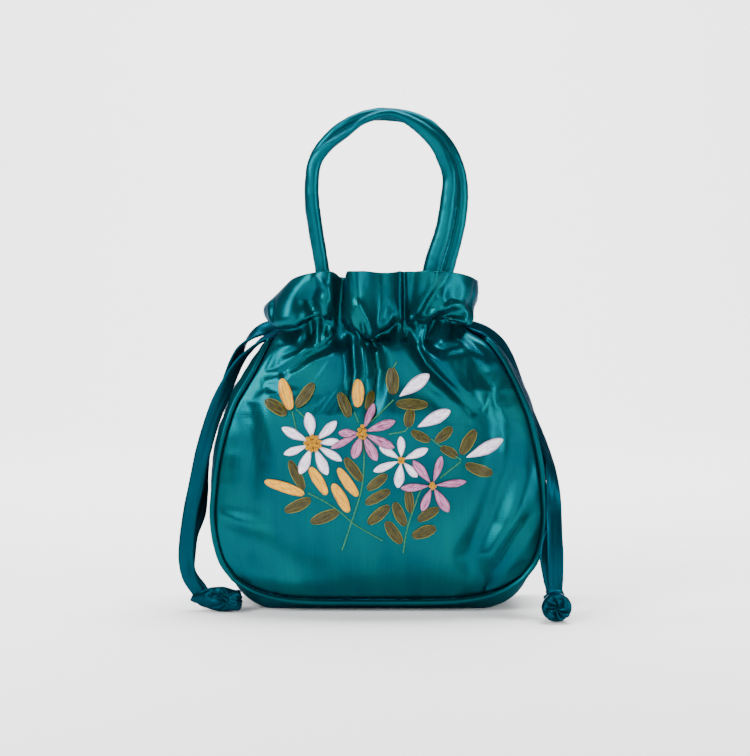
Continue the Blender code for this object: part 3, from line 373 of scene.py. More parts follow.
RIGHT_KNOT_CREASES = (
    # the collar that wraps the straps
    (0.9, ((3.4, -60, 1.0), (4.6, 20, 1.4), (4.0, 90, 1.2), (3.0, 170, 1.2), (3.4, 290, 1.0))),
    (0.8, ((6.8, 120, 1.2), (5.6, 200, 1.6), (4.2, 260, 1.0))),
    (0.8, ((7.4, -80, 1.0), (8.2, 0, 1.2), (7.4, 80, 1.0))),
    (0.9, ((8.4, 150, 1.2), (7.8, 230, 1.2), (8.6, 300, 1.0))),
)

# Daisies. Columns of a daisy: x, height, radius of the middle. Columns of a petal: bearing in
# degrees from +X towards up, reach from the middle, width.
DAISIES = {
    "white_daisy": (
        (-34.8, 94.6, 4.6),
        ((100, 17.0, 6.0), (43, 17.6, 5.0), (5, 14.6, 4.0), (-31, 18.4, 4.4),
         (-65, 18.9, 5.6), (-113, 18.3, 5.6), (-159, 17.0, 4.2), (154, 19.0, 5.2)),
    ),
    "pink_daisy": (
        (-8.2, 100.5, 3.2),
        ((67, 16.9, 4.2), (19, 19.3, 5.0), (-25, 19.6, 5.0), (-62, 17.3, 5.6),
         (-108, 14.8, 5.8), (-153, 18.9, 3.6), (-179, 12.8, 4.4)),
    ),
    "small_white_daisy": (
        (13.2, 85.6, 2.6),
        ((92, 12.9, 4.4), (23, 15.7, 4.6), (-47, 12.7, 4.4), (-97, 15.3, 5.4),
         (-158, 16.3, 4.4), (147, 14.4, 4.4)),
    ),
    "small_pink_daisy": (
        (30.1, 71.8, 2.6),
        ((128, 17.3, 5.0), (73, 16.8, 4.2), (6, 18.7, 4.0), (-59, 17.1, 5.6),
         (-112, 15.2, 4.6), (-175, 17.3, 4.2)),
    ),
}
# Buds and leaves. Columns: x and height of the base, bearing in degrees, length, width.
WHITE_BUDS = (
    (12.2, 119.8, 36, 20.2, 6.6),
    (22.0, 103.4, 26, 20.0, 6.6),
    (48.4, 86.8, 24, 22.6, 6.4),
)
GOLD_BUDS = (
    (-47.0, 112.4, 107, 17.6, 6.4),
    (-10.6, 114.0, 89, 15.0, 6.4),
    (-39.4, 66.9, 163, 23.0, 5.6),
    (-27.4, 66.6, 121, 17.6, 5.6),
    (-15.4, 57.0, 119, 18.0, 5.8),
    (-10.4, 65.8, 125, 18.9, 5.2),
)
LEAVES = (
    (-49.2, 110.0, 147, 14.2, 6.3), (-44.0, 114.0, 54, 16.0, 5.8),
    (-15.0, 108.6, 113, 14.4, 5.6), (-5.6, 112.6, 73, 10.6, 4.3),
    (8.8, 120.6, 93, 14.8, 6.7), (10.2, 116.0, -2, 17.6, 5.8),
    (16.6, 103.2, 79, 10.2, 5.6), (18.6, 101.2, -27, 11.6, 4.9),
    (31.8, 95.3, 41, 12.0, 5.2), (34.4, 92.6, -30, 11.0, 4.7),
    (45.6, 88.4, 59, 15.4, 6.0), (48.0, 83.0, -21, 16.4, 6.0),
    (-8.0, 74.0, 126, 16.1, 5.2), (-5.2, 69.4, 38, 13.6, 5.2),
    (-6.4, 61.8, 28, 15.4, 5.2), (-5.0, 50.6, 41, 15.6, 5.8),
    (-39.6, 69.4, 117, 17.8, 5.2), (-50.3, 57.3, 26, 16.0, 6.0),
    (-36.3, 51.4, 22, 17.2, 6.0), (13.4, 39.8, 125, 15.0, 6.0),
    (15.4, 49.6, 115, 14.4, 5.6), (18.4, 56.6, 97, 13.6, 4.7),
    (22.0, 52.4, 30, 13.6, 5.2), (19.0, 43.8, 19, 14.0, 6.3),
)
# Stems of split thread, each a bent line of x and height.
STEMS = (
    ((-19.1, 35.7), (-14.2, 50.5), (-8.4, 69.9), (-7.0, 87.4), (-8.0, 98.0)),
    ((3.2, 41.2), (-12.3, 50.5), (-20.1, 57.3), (-28.8, 63.1), (-37.5, 67.5)),
    ((14.3, 34.4), (16.3, 47.6), (21.1, 62.1), (24.5, 69.9), (30.1, 71.8)),
    ((34.2, 75.7), (45.4, 84.5)),
    ((-3.6, 105.8), (9.0, 118.0)),
    ((6.1, 99.5), (15.3, 101.4), (16.8, 103.4)),
    ((29.4, 97.1), (32.3, 94.7), (34.2, 93.2), (45.8, 85.4)),
    ((-46.2, 111.6), (-43.8, 101.9)),
    ((-44.3, 113.1), (-38.5, 107.7)),
    ((-12.3, 111.6), (-9.9, 105.8)),
    ((10.9, 138.8), (9.0, 135.4)),
)

random.seed(7)


def hex_colour(code):
    """An sRGB hex colour as linear RGBA."""
    values = [int(code[index : index + 2], 16) / 255 for index in (1, 3, 5)]
    return [v / 12.92 if v <= 0.04045 else ((v + 0.055) / 1.055) ** 2.4 for v in values] + [1.0]


def within(value, low=0.0, high=1.0):
    """A value held between two limits."""
    return min(max(value, low), high)


def hermite(rows, place):
    """Columns of a table at a place between its rows, on a smooth curve through the rows."""
    last = len(rows) - 1
    index = 0
    while index < last - 1 and rows[index + 1][0] <= place:
        index += 1
    near, far = rows[index], rows[index + 1]
    before, after = rows[max(index - 1, 0)], rows[min(index + 2, last)]
    span = far[0] - near[0]
    t = within((place - near[0]) / span)
    found = []
    for column in range(1, len(near)):
        start_slope = (far[column] - before[column]) / (far[0] - before[0]) * span
        end_slope = (after[column] - near[column]) / (after[0] - near[0]) * span
        found.append(
            (2 * t**3 - 3 * t**2 + 1) * near[column]
            + (t**3 - 2 * t**2 + t) * start_slope
            + (3 * t**2 - 2 * t**3) * far[column]
            + (t**3 - t**2) * end_slope
        )
    return found


def smooth_route(points, spacing):
    """Evenly spaced points on a smooth curve through the given ones, extra columns carried."""
    lengths = [0.0]
    for first, second in zip(points, points[1:]):
        lengths.append(lengths[-1] + math.dist(first[:3], second[:3]))
    table = [(length, *point) for length, point in zip(lengths, points)]
    count = round(lengths[-1] / spacing)
    return [hermite(table, lengths[-1] * step / count) for step in range(count + 1)]


def bump_at(place, middle, spread):
    """A smooth hump: 1 in the middle, and nothing beyond twice the spread."""
    return math.exp(-(((place - middle) / spread) ** 2))


def ripple(x, y, z=0.0):
    """Smooth noise from -1 to 1 at a place given in wavelengths."""
    return noise.noise(Vector((x, y, z)))


# Camera, stage and light


def add_camera():
    """A long lens from the front, a little above."""
    data = bpy.data.cameras.new("camera")
    data.lens = VIEW_LENS
    camera = bpy.data.objects.new("camera", data)
    tilt = math.radians(VIEW_ELEVATION)
    back = Vector((0, -math.cos(tilt), math.sin(tilt)))
    camera.location = (Vector(VIEW_TARGET) + back * VIEW_DISTANCE) * MM
    camera.rotation_euler = back.to_track_quat("Z", "Y").to_euler()
    bpy.context.scene.collection.objects.link(camera)
    bpy.context.scene.camera = camera


def add_light(name, place, aim, size, power):
    """A softbox that faces its aim."""
    data = bpy.data.lights.new(name, "AREA")
    data.shape = "RECTANGLE"
    data.size, data.size_y = size
    data.energy = power
    light = bpy.data.objects.new(name, data)
    light.location = place
    light.rotation_euler = (Vector(place) - Vector(aim)).to_track_quat("Z", "Y").to_euler()
    bpy.context.scene.collection.objects.link(light)


def add_stage():
    """A pale sweep: a floor that curves up into a wall behind."""
    sweep = bmesh.new()
    bmesh.ops.create_grid(sweep, x_segments=1, y_segments=40, size=2.0)
    bend, start = 0.8, 1.0
    for vertex in sweep.verts:
        run = vertex.co.y + 0.4
        angle = within((run - start) / bend, 0.0, math.pi / 2)
        past = max(run - start - bend * math.pi / 2, 0.0)
        vertex.co.y = min(run, start) + bend * math.sin(angle)
        vertex.co.z = bend * (1 - math.cos(angle)) + past
        vertex.co.x *= 1.6
    mesh = bpy.data.meshes.new("sweep")
    sweep.to_mesh(mesh)
    sweep.free()
    mesh.shade_smooth()
    floor = bpy.data.objects.new("sweep", mesh)
    mesh.materials.append(paper_white())
    bpy.context.scene.collection.objects.link(floor)


def add_world():
    world = bpy.data.worlds.new("studio")
    world.use_nodes = True
    background = world.node_tree.nodes["Background"]
    background.inputs["Color"].default_value = (1, 1, 1, 1)
    background.inputs["Strength"].default_value = 0.1
    bpy.context.scene.world = world


# Materials


def set_inputs(tree, node, inputs):
    """Sets a node's inputs to plain values, or joins them to sockets."""
    for name, value in inputs.items():
        if isinstance(value, bpy.types.NodeSocket):
            tree.links.new(value, node.inputs[name])
        else:
            node.inputs[name].default_value = value


def add_node(tree, kind, inputs=(), **settings):
    """A shader node with its settings and inputs."""
    node = tree.nodes.new("ShaderNode" + kind)
    for name, value in settings.items():
        setattr(node, name, value)
    set_inputs(tree, node, dict(inputs))
    return node


def new_material(name):
    material = bpy.data.materials.new(name)
    material.use_nodes = True
    return material, material.node_tree


def set_surface(tree, colour, height, distance, strength, values):
    """Gives the shader its colour, its bump, and its other inputs as values or sockets."""
    bump = add_node(tree, "Bump", {"Height": height, "Distance": distance, "Strength": strength})
    inputs = {"Base Color": colour, "Normal": bump.outputs["Normal"], **values}
    set_inputs(tree, tree.nodes["Principled BSDF"], inputs)


def blend(tree, share, shade, light, low=0.0, high=1.0):
    """Two colours mixed by a share, and the shares at which each is pure."""
    ramp = add_node(tree, "ValToRGB", {"Fac": share})
    for element, place, colour in zip(ramp.color_ramp.elements, (low, high), (shade, light)):
        element.position = place
        element.color = hex_colour(colour)
    return ramp.outputs["Color"]


def mix(tree, share, first, second):
    """Two plain values mixed by a share."""
    mixed = add_node(tree, "Mix", {0: share, 2: first, 3: second}, data_type="FLOAT")
    return mixed.outputs[0]


def cloth_uv(tree):
    """The piece's own UV, in metres across and along the cloth."""
    return add_node(tree, "UVMap", uv_map="cloth").outputs["UV"]


def stretched(tree, across, along):
    """The cloth's UV, divided by a grain's size in mm each way."""
    scale = (1 / (across * MM), 1 / (along * MM), 1.0)
    mapping = add_node(tree, "Mapping", {"Vector": cloth_uv(tree), "Scale": scale})
    return mapping.outputs["Vector"]


def grain(tree, vector, detail, roughness=0.5):
    """Soft noise at the scale of a vector that is already in grains."""
    inputs = {"Vector": vector, "Scale": 1.0, "Detail": detail, "Roughness": roughness}
    return add_node(tree, "TexNoise", inputs).outputs["Fac"]


def ribs(tree, across, along, direction, distortion):
    """Wavy ribs across or along the cloth."""
    inputs = {
        "Vector": stretched(tree, across, along), "Scale": 1.0, "Distortion": distortion,
        "Detail": 1.0,
    }
    return add_node(tree, "TexWave", inputs, bands_direction=direction).outputs["Fac"]


def paper_white():
    """Seamless paper: matt, and only just off white, so that the floor gives no reflection."""
    material, tree = new_material("seamless_paper")
    place = add_node(tree, "TexCoord").outputs["Object"]
    fibres = add_node(tree, "TexNoise", {"Vector": place, "Scale": 900.0, "Detail": 2.0})
    paper = hex_colour("#f4f4f4")
    set_surface(tree, paper, fibres.outputs["Fac"], 0.0001, 1.0, {"Roughness": 0.9})
    return material


def satin(name, face, shade, gloss=0.3):
    """Polyester satin, woven with a blue weft under a teal warp.

    Long warp floats give it a silky, coloured shine that runs along the cloth in fine streaks,
    and the weft shows as a bluer cast in the shade.
    """
    material, tree = new_material(name)
    floats = grain(tree, stretched(tree, THREAD, FLOAT_LENGTH), 2.0, 0.6)
    cloud = grain(tree, stretched(tree, *CLOUD), 2.0)
    colour = blend(tree, mix(tree, 0.75, floats, cloud), shade, face, 0.05, 0.95)
    # the weave, drawn coarser than the real 0.2 mm so that it shows
    weft = ribs(tree, 40, THREAD * 6.28, "Y", 1.2)
    warp = ribs(tree, THREAD * 5.0, 60, "X", 1.5)
    weave = mix(tree, 0.6, weft, warp)
    height = add_node(tree, "Math", {0: weave, 1: floats}, operation="ADD").outputs["Value"]
    rough = add_node(
        tree, "MapRange",
        {"Value": floats, "From Min": 0.3, "From Max": 0.7, "To Min": gloss - 0.02,
         "To Max": gloss + 0.05},
    )
    tangent = add_node(tree, "Tangent", direction_type="UV_MAP", uv_map="cloth")
    set_surface(tree, colour, height, 0.00005, 0.4, {
        "Roughness": rough.outputs["Result"],
        "Tangent": tangent.outputs["Tangent"],
        "Metallic": 0.8,
        "Anisotropic": 0.55,
        "Specular IOR Level": 0.15,
        "Specular Tint": hex_colour("#1f8890"),
        "Sheen Weight": 0.07,
        "Sheen Roughness": 0.35,
        "Sheen Tint": hex_colour("#3c5cd0"),
    })
    return material


def lining_cloth():
    """Plain polyester lining: thin, even and less glossy than the satin."""
    material, tree = new_material("polyester_lining")
    weave = grain(tree, stretched(tree, 1.2, 8), 3.0)
    colour = blend(tree, weave, "#064a54", "#0a6a70")
    set_surface(tree, colour, weave, 0.00005, 0.4, {"Roughness": 0.5, "Sheen Weight": 0.2})
    return material


def ribbon(name, middle, light, edge, streak=0.7, rim=0.75):
    """Silk ribbon, pulled through the cloth as one flat stitch.

    Its selvedges roll up and take the edge colour as painted light and shade: darker for painted
    shade, lighter for a painted highlight. Its grain runs along the stitch.
    """
    material, tree = new_material(name)
    split = add_node(tree, "SeparateXYZ", {"Vector": cloth_uv(tree)})
    # the grain differs from stitch to stitch, so its third place is where the stitch lies
    spot = add_node(tree, "TexCoord").outputs["Object"]
    where = add_node(tree, "VectorMath", {0: spot, "Scale": 260.0}, operation="SCALE")
    apart = add_node(tree, "SeparateXYZ", {"Vector": where.outputs["Vector"]})
    along = add_node(tree, "SeparateXYZ", {"Vector": stretched(tree, streak, 7)})
    place = add_node(
        tree, "CombineXYZ",
        {"X": along.outputs["X"], "Y": along.outputs["Y"], "Z": apart.outputs["X"]},
    )
    streaks = grain(tree, place.outputs["Vector"], 3.0, 0.65)
    tone = blend(tree, streaks, middle, light, 0.36, 0.6)
    # how far off the middle line: 0 in the middle and 1 on the selvedge
    off = add_node(
        tree, "MapRange",
        {"Value": split.outputs["X"], "From Min": 0.0, "From Max": PETAL_UV_WIDTH * MM,
         "To Min": -1.0, "To Max": 1.0},
    )
    away = add_node(tree, "Math", {0: off.outputs["Result"]}, operation="ABSOLUTE")
    # painted shade and highlight along the sides: the edge colour, darker than the ribbon for
    # painted shade and lighter for a painted highlight, is mixed in towards each side
    edge_shade_and_highlight = add_node(
        tree, "MapRange",
        {"Value": away.outputs["Value"], "From Min": rim, "From Max": 0.97, "To Min": 0.0,
         "To Max": 0.85},
    )
    mixed = add_node(
        tree, "Mix", {0: edge_shade_and_highlight.outputs["Result"], 6: tone, 7: hex_colour(edge)},
        data_type="RGBA",
    )
    values = {"Roughness": 0.42, "Specular IOR Level": 0.25}
    set_surface(tree, mixed.outputs[2], streaks, 0.0003, 0.8, values)
    return material


def thread(name, colour, shade):
    """Stranded silk thread: twisted, with a soft shine and painted shade in dark lines between its
    strands.
    """
    material, tree = new_material(name)
    turned = add_node(
        tree, "Mapping",
        {"Vector": cloth_uv(tree), "Rotation": (0.0, 0.0, math.radians(35)),
         "Scale": (1 / (THREAD * MM), 1 / (THREAD * MM), 1.0)},
    )
    strands = add_node(
        tree, "TexWave", {"Vector": turned.outputs["Vector"], "Scale": 1.0, "Distortion": 0.6}
    ).outputs["Fac"]
    values = {"Roughness": 0.55, "Specular IOR Level": 0.25}
    # painted shade: the shade colour fills the grooves between the strands
    set_surface(tree, blend(tree, strands, shade, colour), strands, 0.00015, 0.8, values)
    return material


# Making pieces


def finish_piece(name, shape, materials, stands_in=True):
    """Turns a bmesh into a piece that rides on the bag, and mostly stands for the node it shows."""
    mesh = bpy.data.meshes.new("sewn_" + name)
    shape.to_mesh(mesh)
    shape.free()
    mesh.shade_smooth()
    for material in materials:
        mesh.materials.append(material)
    piece = bpy.data.objects.new("sewn_" + name, mesh)
    bpy.context.scene.collection.objects.link(piece)
    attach(piece, BODY)
    if stands_in:
        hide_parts(name)
    return piece


def cloth_grid(columns, rows, across, along, place):
    """A grid with its UV in metres, each corner moved to place(across, up), both 0 to 1."""
    sheet = bmesh.new()
    layer = sheet.loops.layers.uv.new("cloth")
    bmesh.ops.create_grid(sheet, x_segments=columns, y_segments=rows, size=0.5)
    for face in sheet.faces:
        for loop in face.loops:
            corner = loop.vert.co
            loop[layer].uv = ((corner.x + 0.5) * across * MM, (corner.y + 0.5) * along * MM)
    for vertex in sheet.verts:
        vertex.co = Vector(place(vertex.co.x + 0.5, vertex.co.y + 0.5)) * MM
    return sheet


def add_wall(piece, thickness, offset=-1.0, inside=0):
    """Gives a sheet its thickness; the inner face may take the second material."""
    wall = piece.modifiers.new("wall", "SOLIDIFY")
    wall.thickness = thickness * MM
    wall.offset = offset
    wall.material_offset = inside


def let_settle(piece, holds, slacks):
    """Cloth simulation of slack satin: it is cut a little too full, held at its seams and sinks.

    holds gives each point how firmly it stays, and slacks how much of the growth it gets, both
    from 0 to 1. The result is applied to the mesh.
    """
    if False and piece.name in SKIP_QUICK:
        return
    group = piece.vertex_groups.new(name="held")
    slack = piece.vertex_groups.new(name="slack")
    for index, (hold, share) in enumerate(zip(holds, slacks)):
        group.add([index], min(max(hold, 0.0), 1.0), "REPLACE")
        slack.add([index], min(max(share, 0.0), 1.0), "REPLACE")
    cloth = piece.modifiers.new("settle", "CLOTH")
    settings = cloth.settings
    for name, value in SLACK_SATIN.items():
        setattr(settings, name, value)
    settings.vertex_group_mass = group.name
    settings.vertex_group_shrink = slack.name
    settings.shrink_min, settings.shrink_max = 0.0, -PANEL_GROWTH
    settings.effector_weights.gravity = GRAVITY_SHARE
    cloth.collision_settings.use_collision = False
    cloth.point_cache.frame_start, cloth.point_cache.frame_end = 1, PANEL_STEPS
    for step in range(1, PANEL_STEPS + 1):
        bpy.context.scene.frame_set(step)
    shape = bpy.data.meshes.new_from_object(
        piece.evaluated_get(bpy.context.evaluated_depsgraph_get())
    )
    moved = [vertex.co.copy() for vertex in shape.vertices]
    piece.modifiers.remove(cloth)
    piece.vertex_groups.remove(group)
    piece.vertex_groups.remove(slack)
    bpy.data.meshes.remove(shape)
    bpy.context.scene.frame_set(1)
    for vertex, place in zip(piece.data.vertices, moved):
        step = place - vertex.co
        if step.length > SETTLE_CAP * MM:
            step *= SETTLE_CAP * MM / step.length
        vertex.co += step


def close_tube(tube, merge):
    """Joins a rolled-up grid along its seam, closes its ends and turns its faces outward."""
    bmesh.ops.remove_doubles(tube, verts=tube.verts, dist=merge)
    ends = [edge for edge in tube.edges if edge.is_boundary]
    bmesh.ops.holes_fill(tube, edges=ends, sides=0)
    bmesh.ops.recalc_face_normals(tube, faces=tube.faces)
    return tube


def round_piece(columns, spacing, route, girth, ring):
    """A closed tube. ring(turn, index) gives the point for a turn of 0 to 1."""
    rows = len(route) - 1

    def place(across, up):
        return ring(across, round(up * rows))

    return close_tube(cloth_grid(columns, rows, girth, spacing * rows, place), 0.000001)


def tangent_at(points, index):
    before, after = points[max(index - 1, 0)], points[min(index + 1, len(points) - 1)]
    return (Vector(after[:3]) - Vector(before[:3])).normalized()


def square_to(ahead, direction):
    """A direction turned square to the line's own, at unit length."""
    return (direction - ahead * direction.dot(ahead)).normalized()


# The body


def corner_share(x):
    """How near a place is to the lower corner on its side: 0 at the middle and 1 at the corner."""
    return abs(x) / (LEFT_CORNER if x < 0 else RIGHT_CORNER)


def bottom_seam(x):
    return BOTTOM_SEAM + CORNER_RISE * min(corner_share(x), 1.0) ** 5


def line_distance(x, height, bends):
    """Distance from a place to a bent line, and the depth there."""
    nearest, depth = 1e9, 0.0
    for (x0, z0, d0), (x1, z1, d1) in zip(bends, bends[1:]):
        run_x, run = x1 - x0, z1 - z0
        along = within(((x - x0) * run_x + (height - z0) * run) / (run_x**2 + run**2))
        away = math.hypot(x - x0 - run_x * along, height - z0 - run * along)
        if away < nearest:
            nearest, depth = away, d0 + (d1 - d0) * along
    return nearest, depth


def fold_depth(folds, x, height):
    """How far the cloth is pushed in at a place, by all the folds together."""
    total = 0.0
    for half_width, bends in folds:
        away, depth = line_distance(x, height, bends)
        if away < 3.2 * half_width:
            total += depth * math.exp(-((away / half_width) ** 2))
    return total


def back_folds():
    """Gathers under the neck of the back, each with a flute of the ruffle above it."""
    folds = []
    for index in range(GATHER_COUNT):
        x = RING_MIDDLE + GATHER_PITCH * (index - (GATHER_COUNT - 1) / 2)
        x += 1.6 * math.sin(index * 2.3)
        depth = 5.6 if index % 2 else 3.6
        lean = 2.4 * math.sin(index * 1.7)
        foot = 120 + 6 * math.sin(index * 2.9)
        folds.append(
            (3.4, ((x * 1.12 + lean, 190, depth), (x, 164, depth + 1.5), (x, 152, 7.0)))
        )
        folds.append(
            (3.0, ((x, 152, 6.0), (x * 1.16 - lean, 138, 3.4), (x * 1.34 - lean, foot, 0.5)))
        )
    folds.append((9.0, ((60.0, 90, 1.4), (50.0, 40, 1.6))))
    folds.append((10.0, ((-64.0, 96, 1.4), (-40.0, 34, 1.4))))
    folds.append((8.0, ((-80.0, 60, -1.0), (-60.0, 30, -1.2))))
    return tuple(folds)


def row_point(side, height, across):
    """A point of a panel before folding, on the row that meets the edge at this height."""
    left, right, edge, crown, squareness = hermite(OUTLINE, height)
    middle, half = (right - left) / 2, (right + left) / 2 - PANEL_SETBACK
    x = middle + half * across
    fullness = max(1 - abs(across) ** 3, 0.0) ** (1 / squareness)
    if side == BACK:
        crown += BACK_BULGE * within((NECK - height) / 60)
    crown -= NECK_RECESS * bump_at(height, 155.0, 6.5)
    y = side * (edge + (crown - edge) * fullness)
    lowering = max(0.0, 1 - (height - OUTLINE[0][0]) / BOTTOM_FADE) ** 1.6
    z = height - lowering * (OUTLINE[0][0] - bottom_seam(x) - PANEL_SETBACK)
    rise = max(0.0, (height - NECK) / (RUFFLE_TOP - NECK))
    if side == BACK:
        z -= (1 - BACK_RUFFLE_SHARE) * rise * (RUFFLE_TOP - NECK)
    drop = LEFT_DROP if across < 0 else RIGHT_DROP
    z -= rise * drop * abs(across) ** 6
    return Vector((x, y, z))


def pucker(point, across, height):
    """Small puckers that run in from the piping."""
    from_edge = (1 - abs(across)) * 88
    from_seam = point.z - bottom_seam(point.x)
    depth = 0.0
    if height < GUSSET_TOP:
        wave = ripple(height / PUCKER_PITCH, 3.0 * math.copysign(1, across), 0.6)
        depth += wave * math.exp(-((from_edge / PUCKER_REACH) ** 1.4)) * min(from_edge / 1.6, 1)
    wave = ripple(point.x / PUCKER_PITCH, 11.0, 0.2)
    depth += wave * math.exp(-((from_seam / PUCKER_REACH) ** 1.4)) * min(from_seam / 1.6, 1)
    return 2 * PUCKER_DEPTH * depth


def panel_point(side, folds, slumps, height, across):
    """A point of a panel: the smooth row pushed in along its own plan normal by the folds."""
    step = 0.01
    point = row_point(side, height, across)
    ahead = row_point(side, height, min(across + step, 1.0))
    behind = row_point(side, height, max(across - step, -1.0))
    inward = Vector((ahead.y - behind.y, behind.x - ahead.x, 0)).normalized() * side
    rise = max(0.0, (height - RUFFLE_START) / (RUFFLE_TOP - RUFFLE_START))
    deepest = DEEPEST_FOLD + RUFFLE_EXTRA * rise - NECK_SHALLOWS * bump_at(height, 156.0, 7.0)
    x, z = point.x, point.z
    depth = fold_depth(folds, x, z)
    depth = deepest * math.tanh(depth / deepest)
    point.z -= TOP_DIP * max(depth, 0) * rise
    depth += pucker(point, across, height)
    slack = within((z - 96) / 50, 0.15)
    depth += 0.5 * slack * ripple(x / 17, z / 26, side) + 0.12 * slack * ripple(x / 6, z / 15, 4)
    hold = 1 - abs(across) ** 10
    point += inward * depth * hold
    if side == FRONT:
        for middle, half_width, wander in FRONT_WANDERS:
            share = bump_at(x, middle, half_width) * bump_at(height, WANDER_HEIGHT, WANDER_SPREAD)
            point.z += wander * share
        point.z -= HEM_NOTCH[2] * bump_at(x, HEM_NOTCH[0], HEM_NOTCH[1]) * rise
    slump = bump_at(height, SLUMP_HEIGHT, SLUMP_SPREAD) * within((height - NECK) / 3.0)
    if slump > 0.01:
        for middle, half_width, down, out in slumps:
            share = bump_at(x, middle, half_width) * slump
            point.z -= down * share
            point -= inward * out * share
    return point


def panel_heights(step):
    """Heights of a panel's rows, closer together about the neck."""
    heights, height = [OUTLINE[0][0]], OUTLINE[0][0]
    while height < RUFFLE_TOP - 0.01:
        height += step if height < 120 else step * 0.6
        heights.append(min(height, RUFFLE_TOP))
    return heights


def add_panel(name, side, folds, slumps, columns, row_step, materials):
    """One face of the bag. How firmly each point is held is noted while it is placed."""
    heights = panel_heights(row_step)
    holds, slacks = [], []

    def place(across, up):
        height = heights[round(up * (len(heights) - 1))]
        edge = min(across, 1 - across) * columns
        firm = 1.0 if edge < 1.5 or up < 1.5 / len(heights) else 0.0
        neck = NECK_HOLD * within((height - 136) / 14)
        body = LOW_HOLD + (PANEL_HOLD - LOW_HOLD) * within((height - 85) / 35)
        holds.append(max(firm, neck, body))
        slacks.append(hermite(PANEL_SLACK, height)[0])
        return panel_point(side, folds, slumps, height, side * (1 - 2 * across))

    sheet = cloth_grid(columns, len(heights) - 1, *PANEL_CUT, place)
    piece = finish_piece(name, sheet, materials)
    let_settle(piece, holds, slacks)
    add_wall(piece, LINED_SATIN, -1.0, 1)
    return piece


def seam_path():
    """The seam from the left neck round the base to the right neck: x, height and edge depth."""
    heights = [h for h in panel_heights(SEAM_STEP) if h < GUSSET_TOP - 0.5 * SEAM_STEP]
    heights.append(GUSSET_TOP)
    path = []
    for height in reversed(heights):
        left, _, edge, _, _ = hermite(OUTLINE, height)
        path.append((-left, height, edge))
    left, right, edge, _, _ = hermite(OUTLINE, OUTLINE[0][0])
    count = round((left + right) / SEAM_STEP)
    for index in range(1, count):
        x = -left + (left + right) * index / count
        path.append((x, bottom_seam(x), edge))
    for height in heights:
        _, right, edge, _, _ = hermite(OUTLINE, height)
        path.append((right, height, edge))
    return path


def outward_of(path, index, reach=2):
    """Unit vector in the plane of the seam, pointing out of the bag."""
    before, after = path[max(index - reach, 0)], path[min(index + reach, len(path) - 1)]
    return Vector((before[1] - after[1], 0, after[0] - before[0])).normalized() * -1


def add_gusset(materials):
    """The strip that makes the sides and the flat base, fuller than its seams at the sides."""
    path = seam_path()
    flat_share = 1 - GUSSET_FLAT**GUSSET_POWER

    def place(across, up):
        index = round(up * (len(path) - 1))
        x, z, edge = path[index]
        t = 2 * across - 1
        fullness = min((1 - abs(t) ** GUSSET_POWER) / flat_share, 1.0)
        point = Vector((x, t * (edge - GUSSET_SETBACK), z))
        if corner_share(x) < BASE_SHARE and z < OUTLINE[0][0]:
            return point - Vector((0, 0, z * fullness))
        left, right = hermite(GUSSET_FULLNESS, z)
        reach = left if x < 0 else right
        nearness = within((corner_share(x) - BASE_SHARE) / (1 - BASE_SHARE))
        if z < OUTLINE[0][0]:
            reach += (z - reach) * (1 - nearness)
        slack = fullness * within((z - 14) / 20)
        wave = 0.9 * ripple(z / 17, t * 1.3, x / 60) + 0.5 * ripple(z / 8, t * 2.2, 5)
        folds = 1.6 * slack * wave * (0.5 + 0.5 * min(z / 110, 1.0))
        edge_wave = 0.5 * ripple(z / 5 + x / 5, 9 * math.copysign(1, t), 2) * (abs(t) ** 3)
        edge_wave *= min((1 - abs(t)) / 0.1, 1.0)
        shift = outward_of(path, index) * (reach * fullness + folds + edge_wave)
        shift.z = max(shift.z, -point.z)
        return point + shift

    length = SEAM_STEP * len(path)
    sheet = cloth_grid(GUSSET_COLUMNS, len(path) - 1, GUSSET_CUT, length, place)
    add_wall(finish_piece("gusset", sheet, materials), LINED_SATIN, -1.0, 1)


def add_piping(name, side, material):
    """Satin wrapped round a cord: its cover puckers a little where it turns the corners."""
    path = seam_path()

    def ring(turn, index):
        x, z, edge = path[index]
        outward = outward_of(path, index)
        middle = Vector((x, side * (edge + PIPING_OFFSET), z)) + outward * PIPING_OFFSET
        angle = turn * 2 * math.pi
        pinch = 1 + 0.06 * ripple(index / 3.1, math.cos(angle), math.sin(angle) + 7 * side)
        radius = PIPING_RADIUS * pinch * (0.02 if index in (0, len(path) - 1) else 1)
        facing = Vector((0, side, 0))
        return middle + (outward * math.cos(angle) + facing * math.sin(angle)) * radius

    tube = round_piece(PIPING_COLUMNS, SEAM_STEP, path, 2 * math.pi * PIPING_RADIUS, ring)
    finish_piece(name, tube, [material])


def ring_point(ring, side, across, height, fold=0.0):
    """A point of a drawn-up ring inside the neck."""
    length, depth = ring
    y = side * (depth * (1 - abs(across) ** RING_POWER) ** (1 / RING_POWER) - fold)
    return Vector((RING_MIDDLE + length * across, y, height))


def add_casing(name, side, materials):
    """The strip inside the neck, drawn into small gathers."""
    low, high = CASING_HEIGHTS

    def place(across, up):
        angle = (2 * across - 1) * math.asin(CASING_REACH) * -side
        t = math.sin(angle)
        turned = across * 2 * math.pi * CASING_GATHERS + 2 * ripple(across * 9, 1, side)
        gather = 0.7 * math.sin(turned)
        return ring_point(CASING_RING, side, t, low + (high - low) * up, 0.4 + gather * 0.6)

    sheet = cloth_grid(*CASING_GRID, CASING_CUT, high - low, place)
    add_wall(finish_piece(name, sheet, materials), LINED_SATIN, 0.0)


# Handles and drawstrings


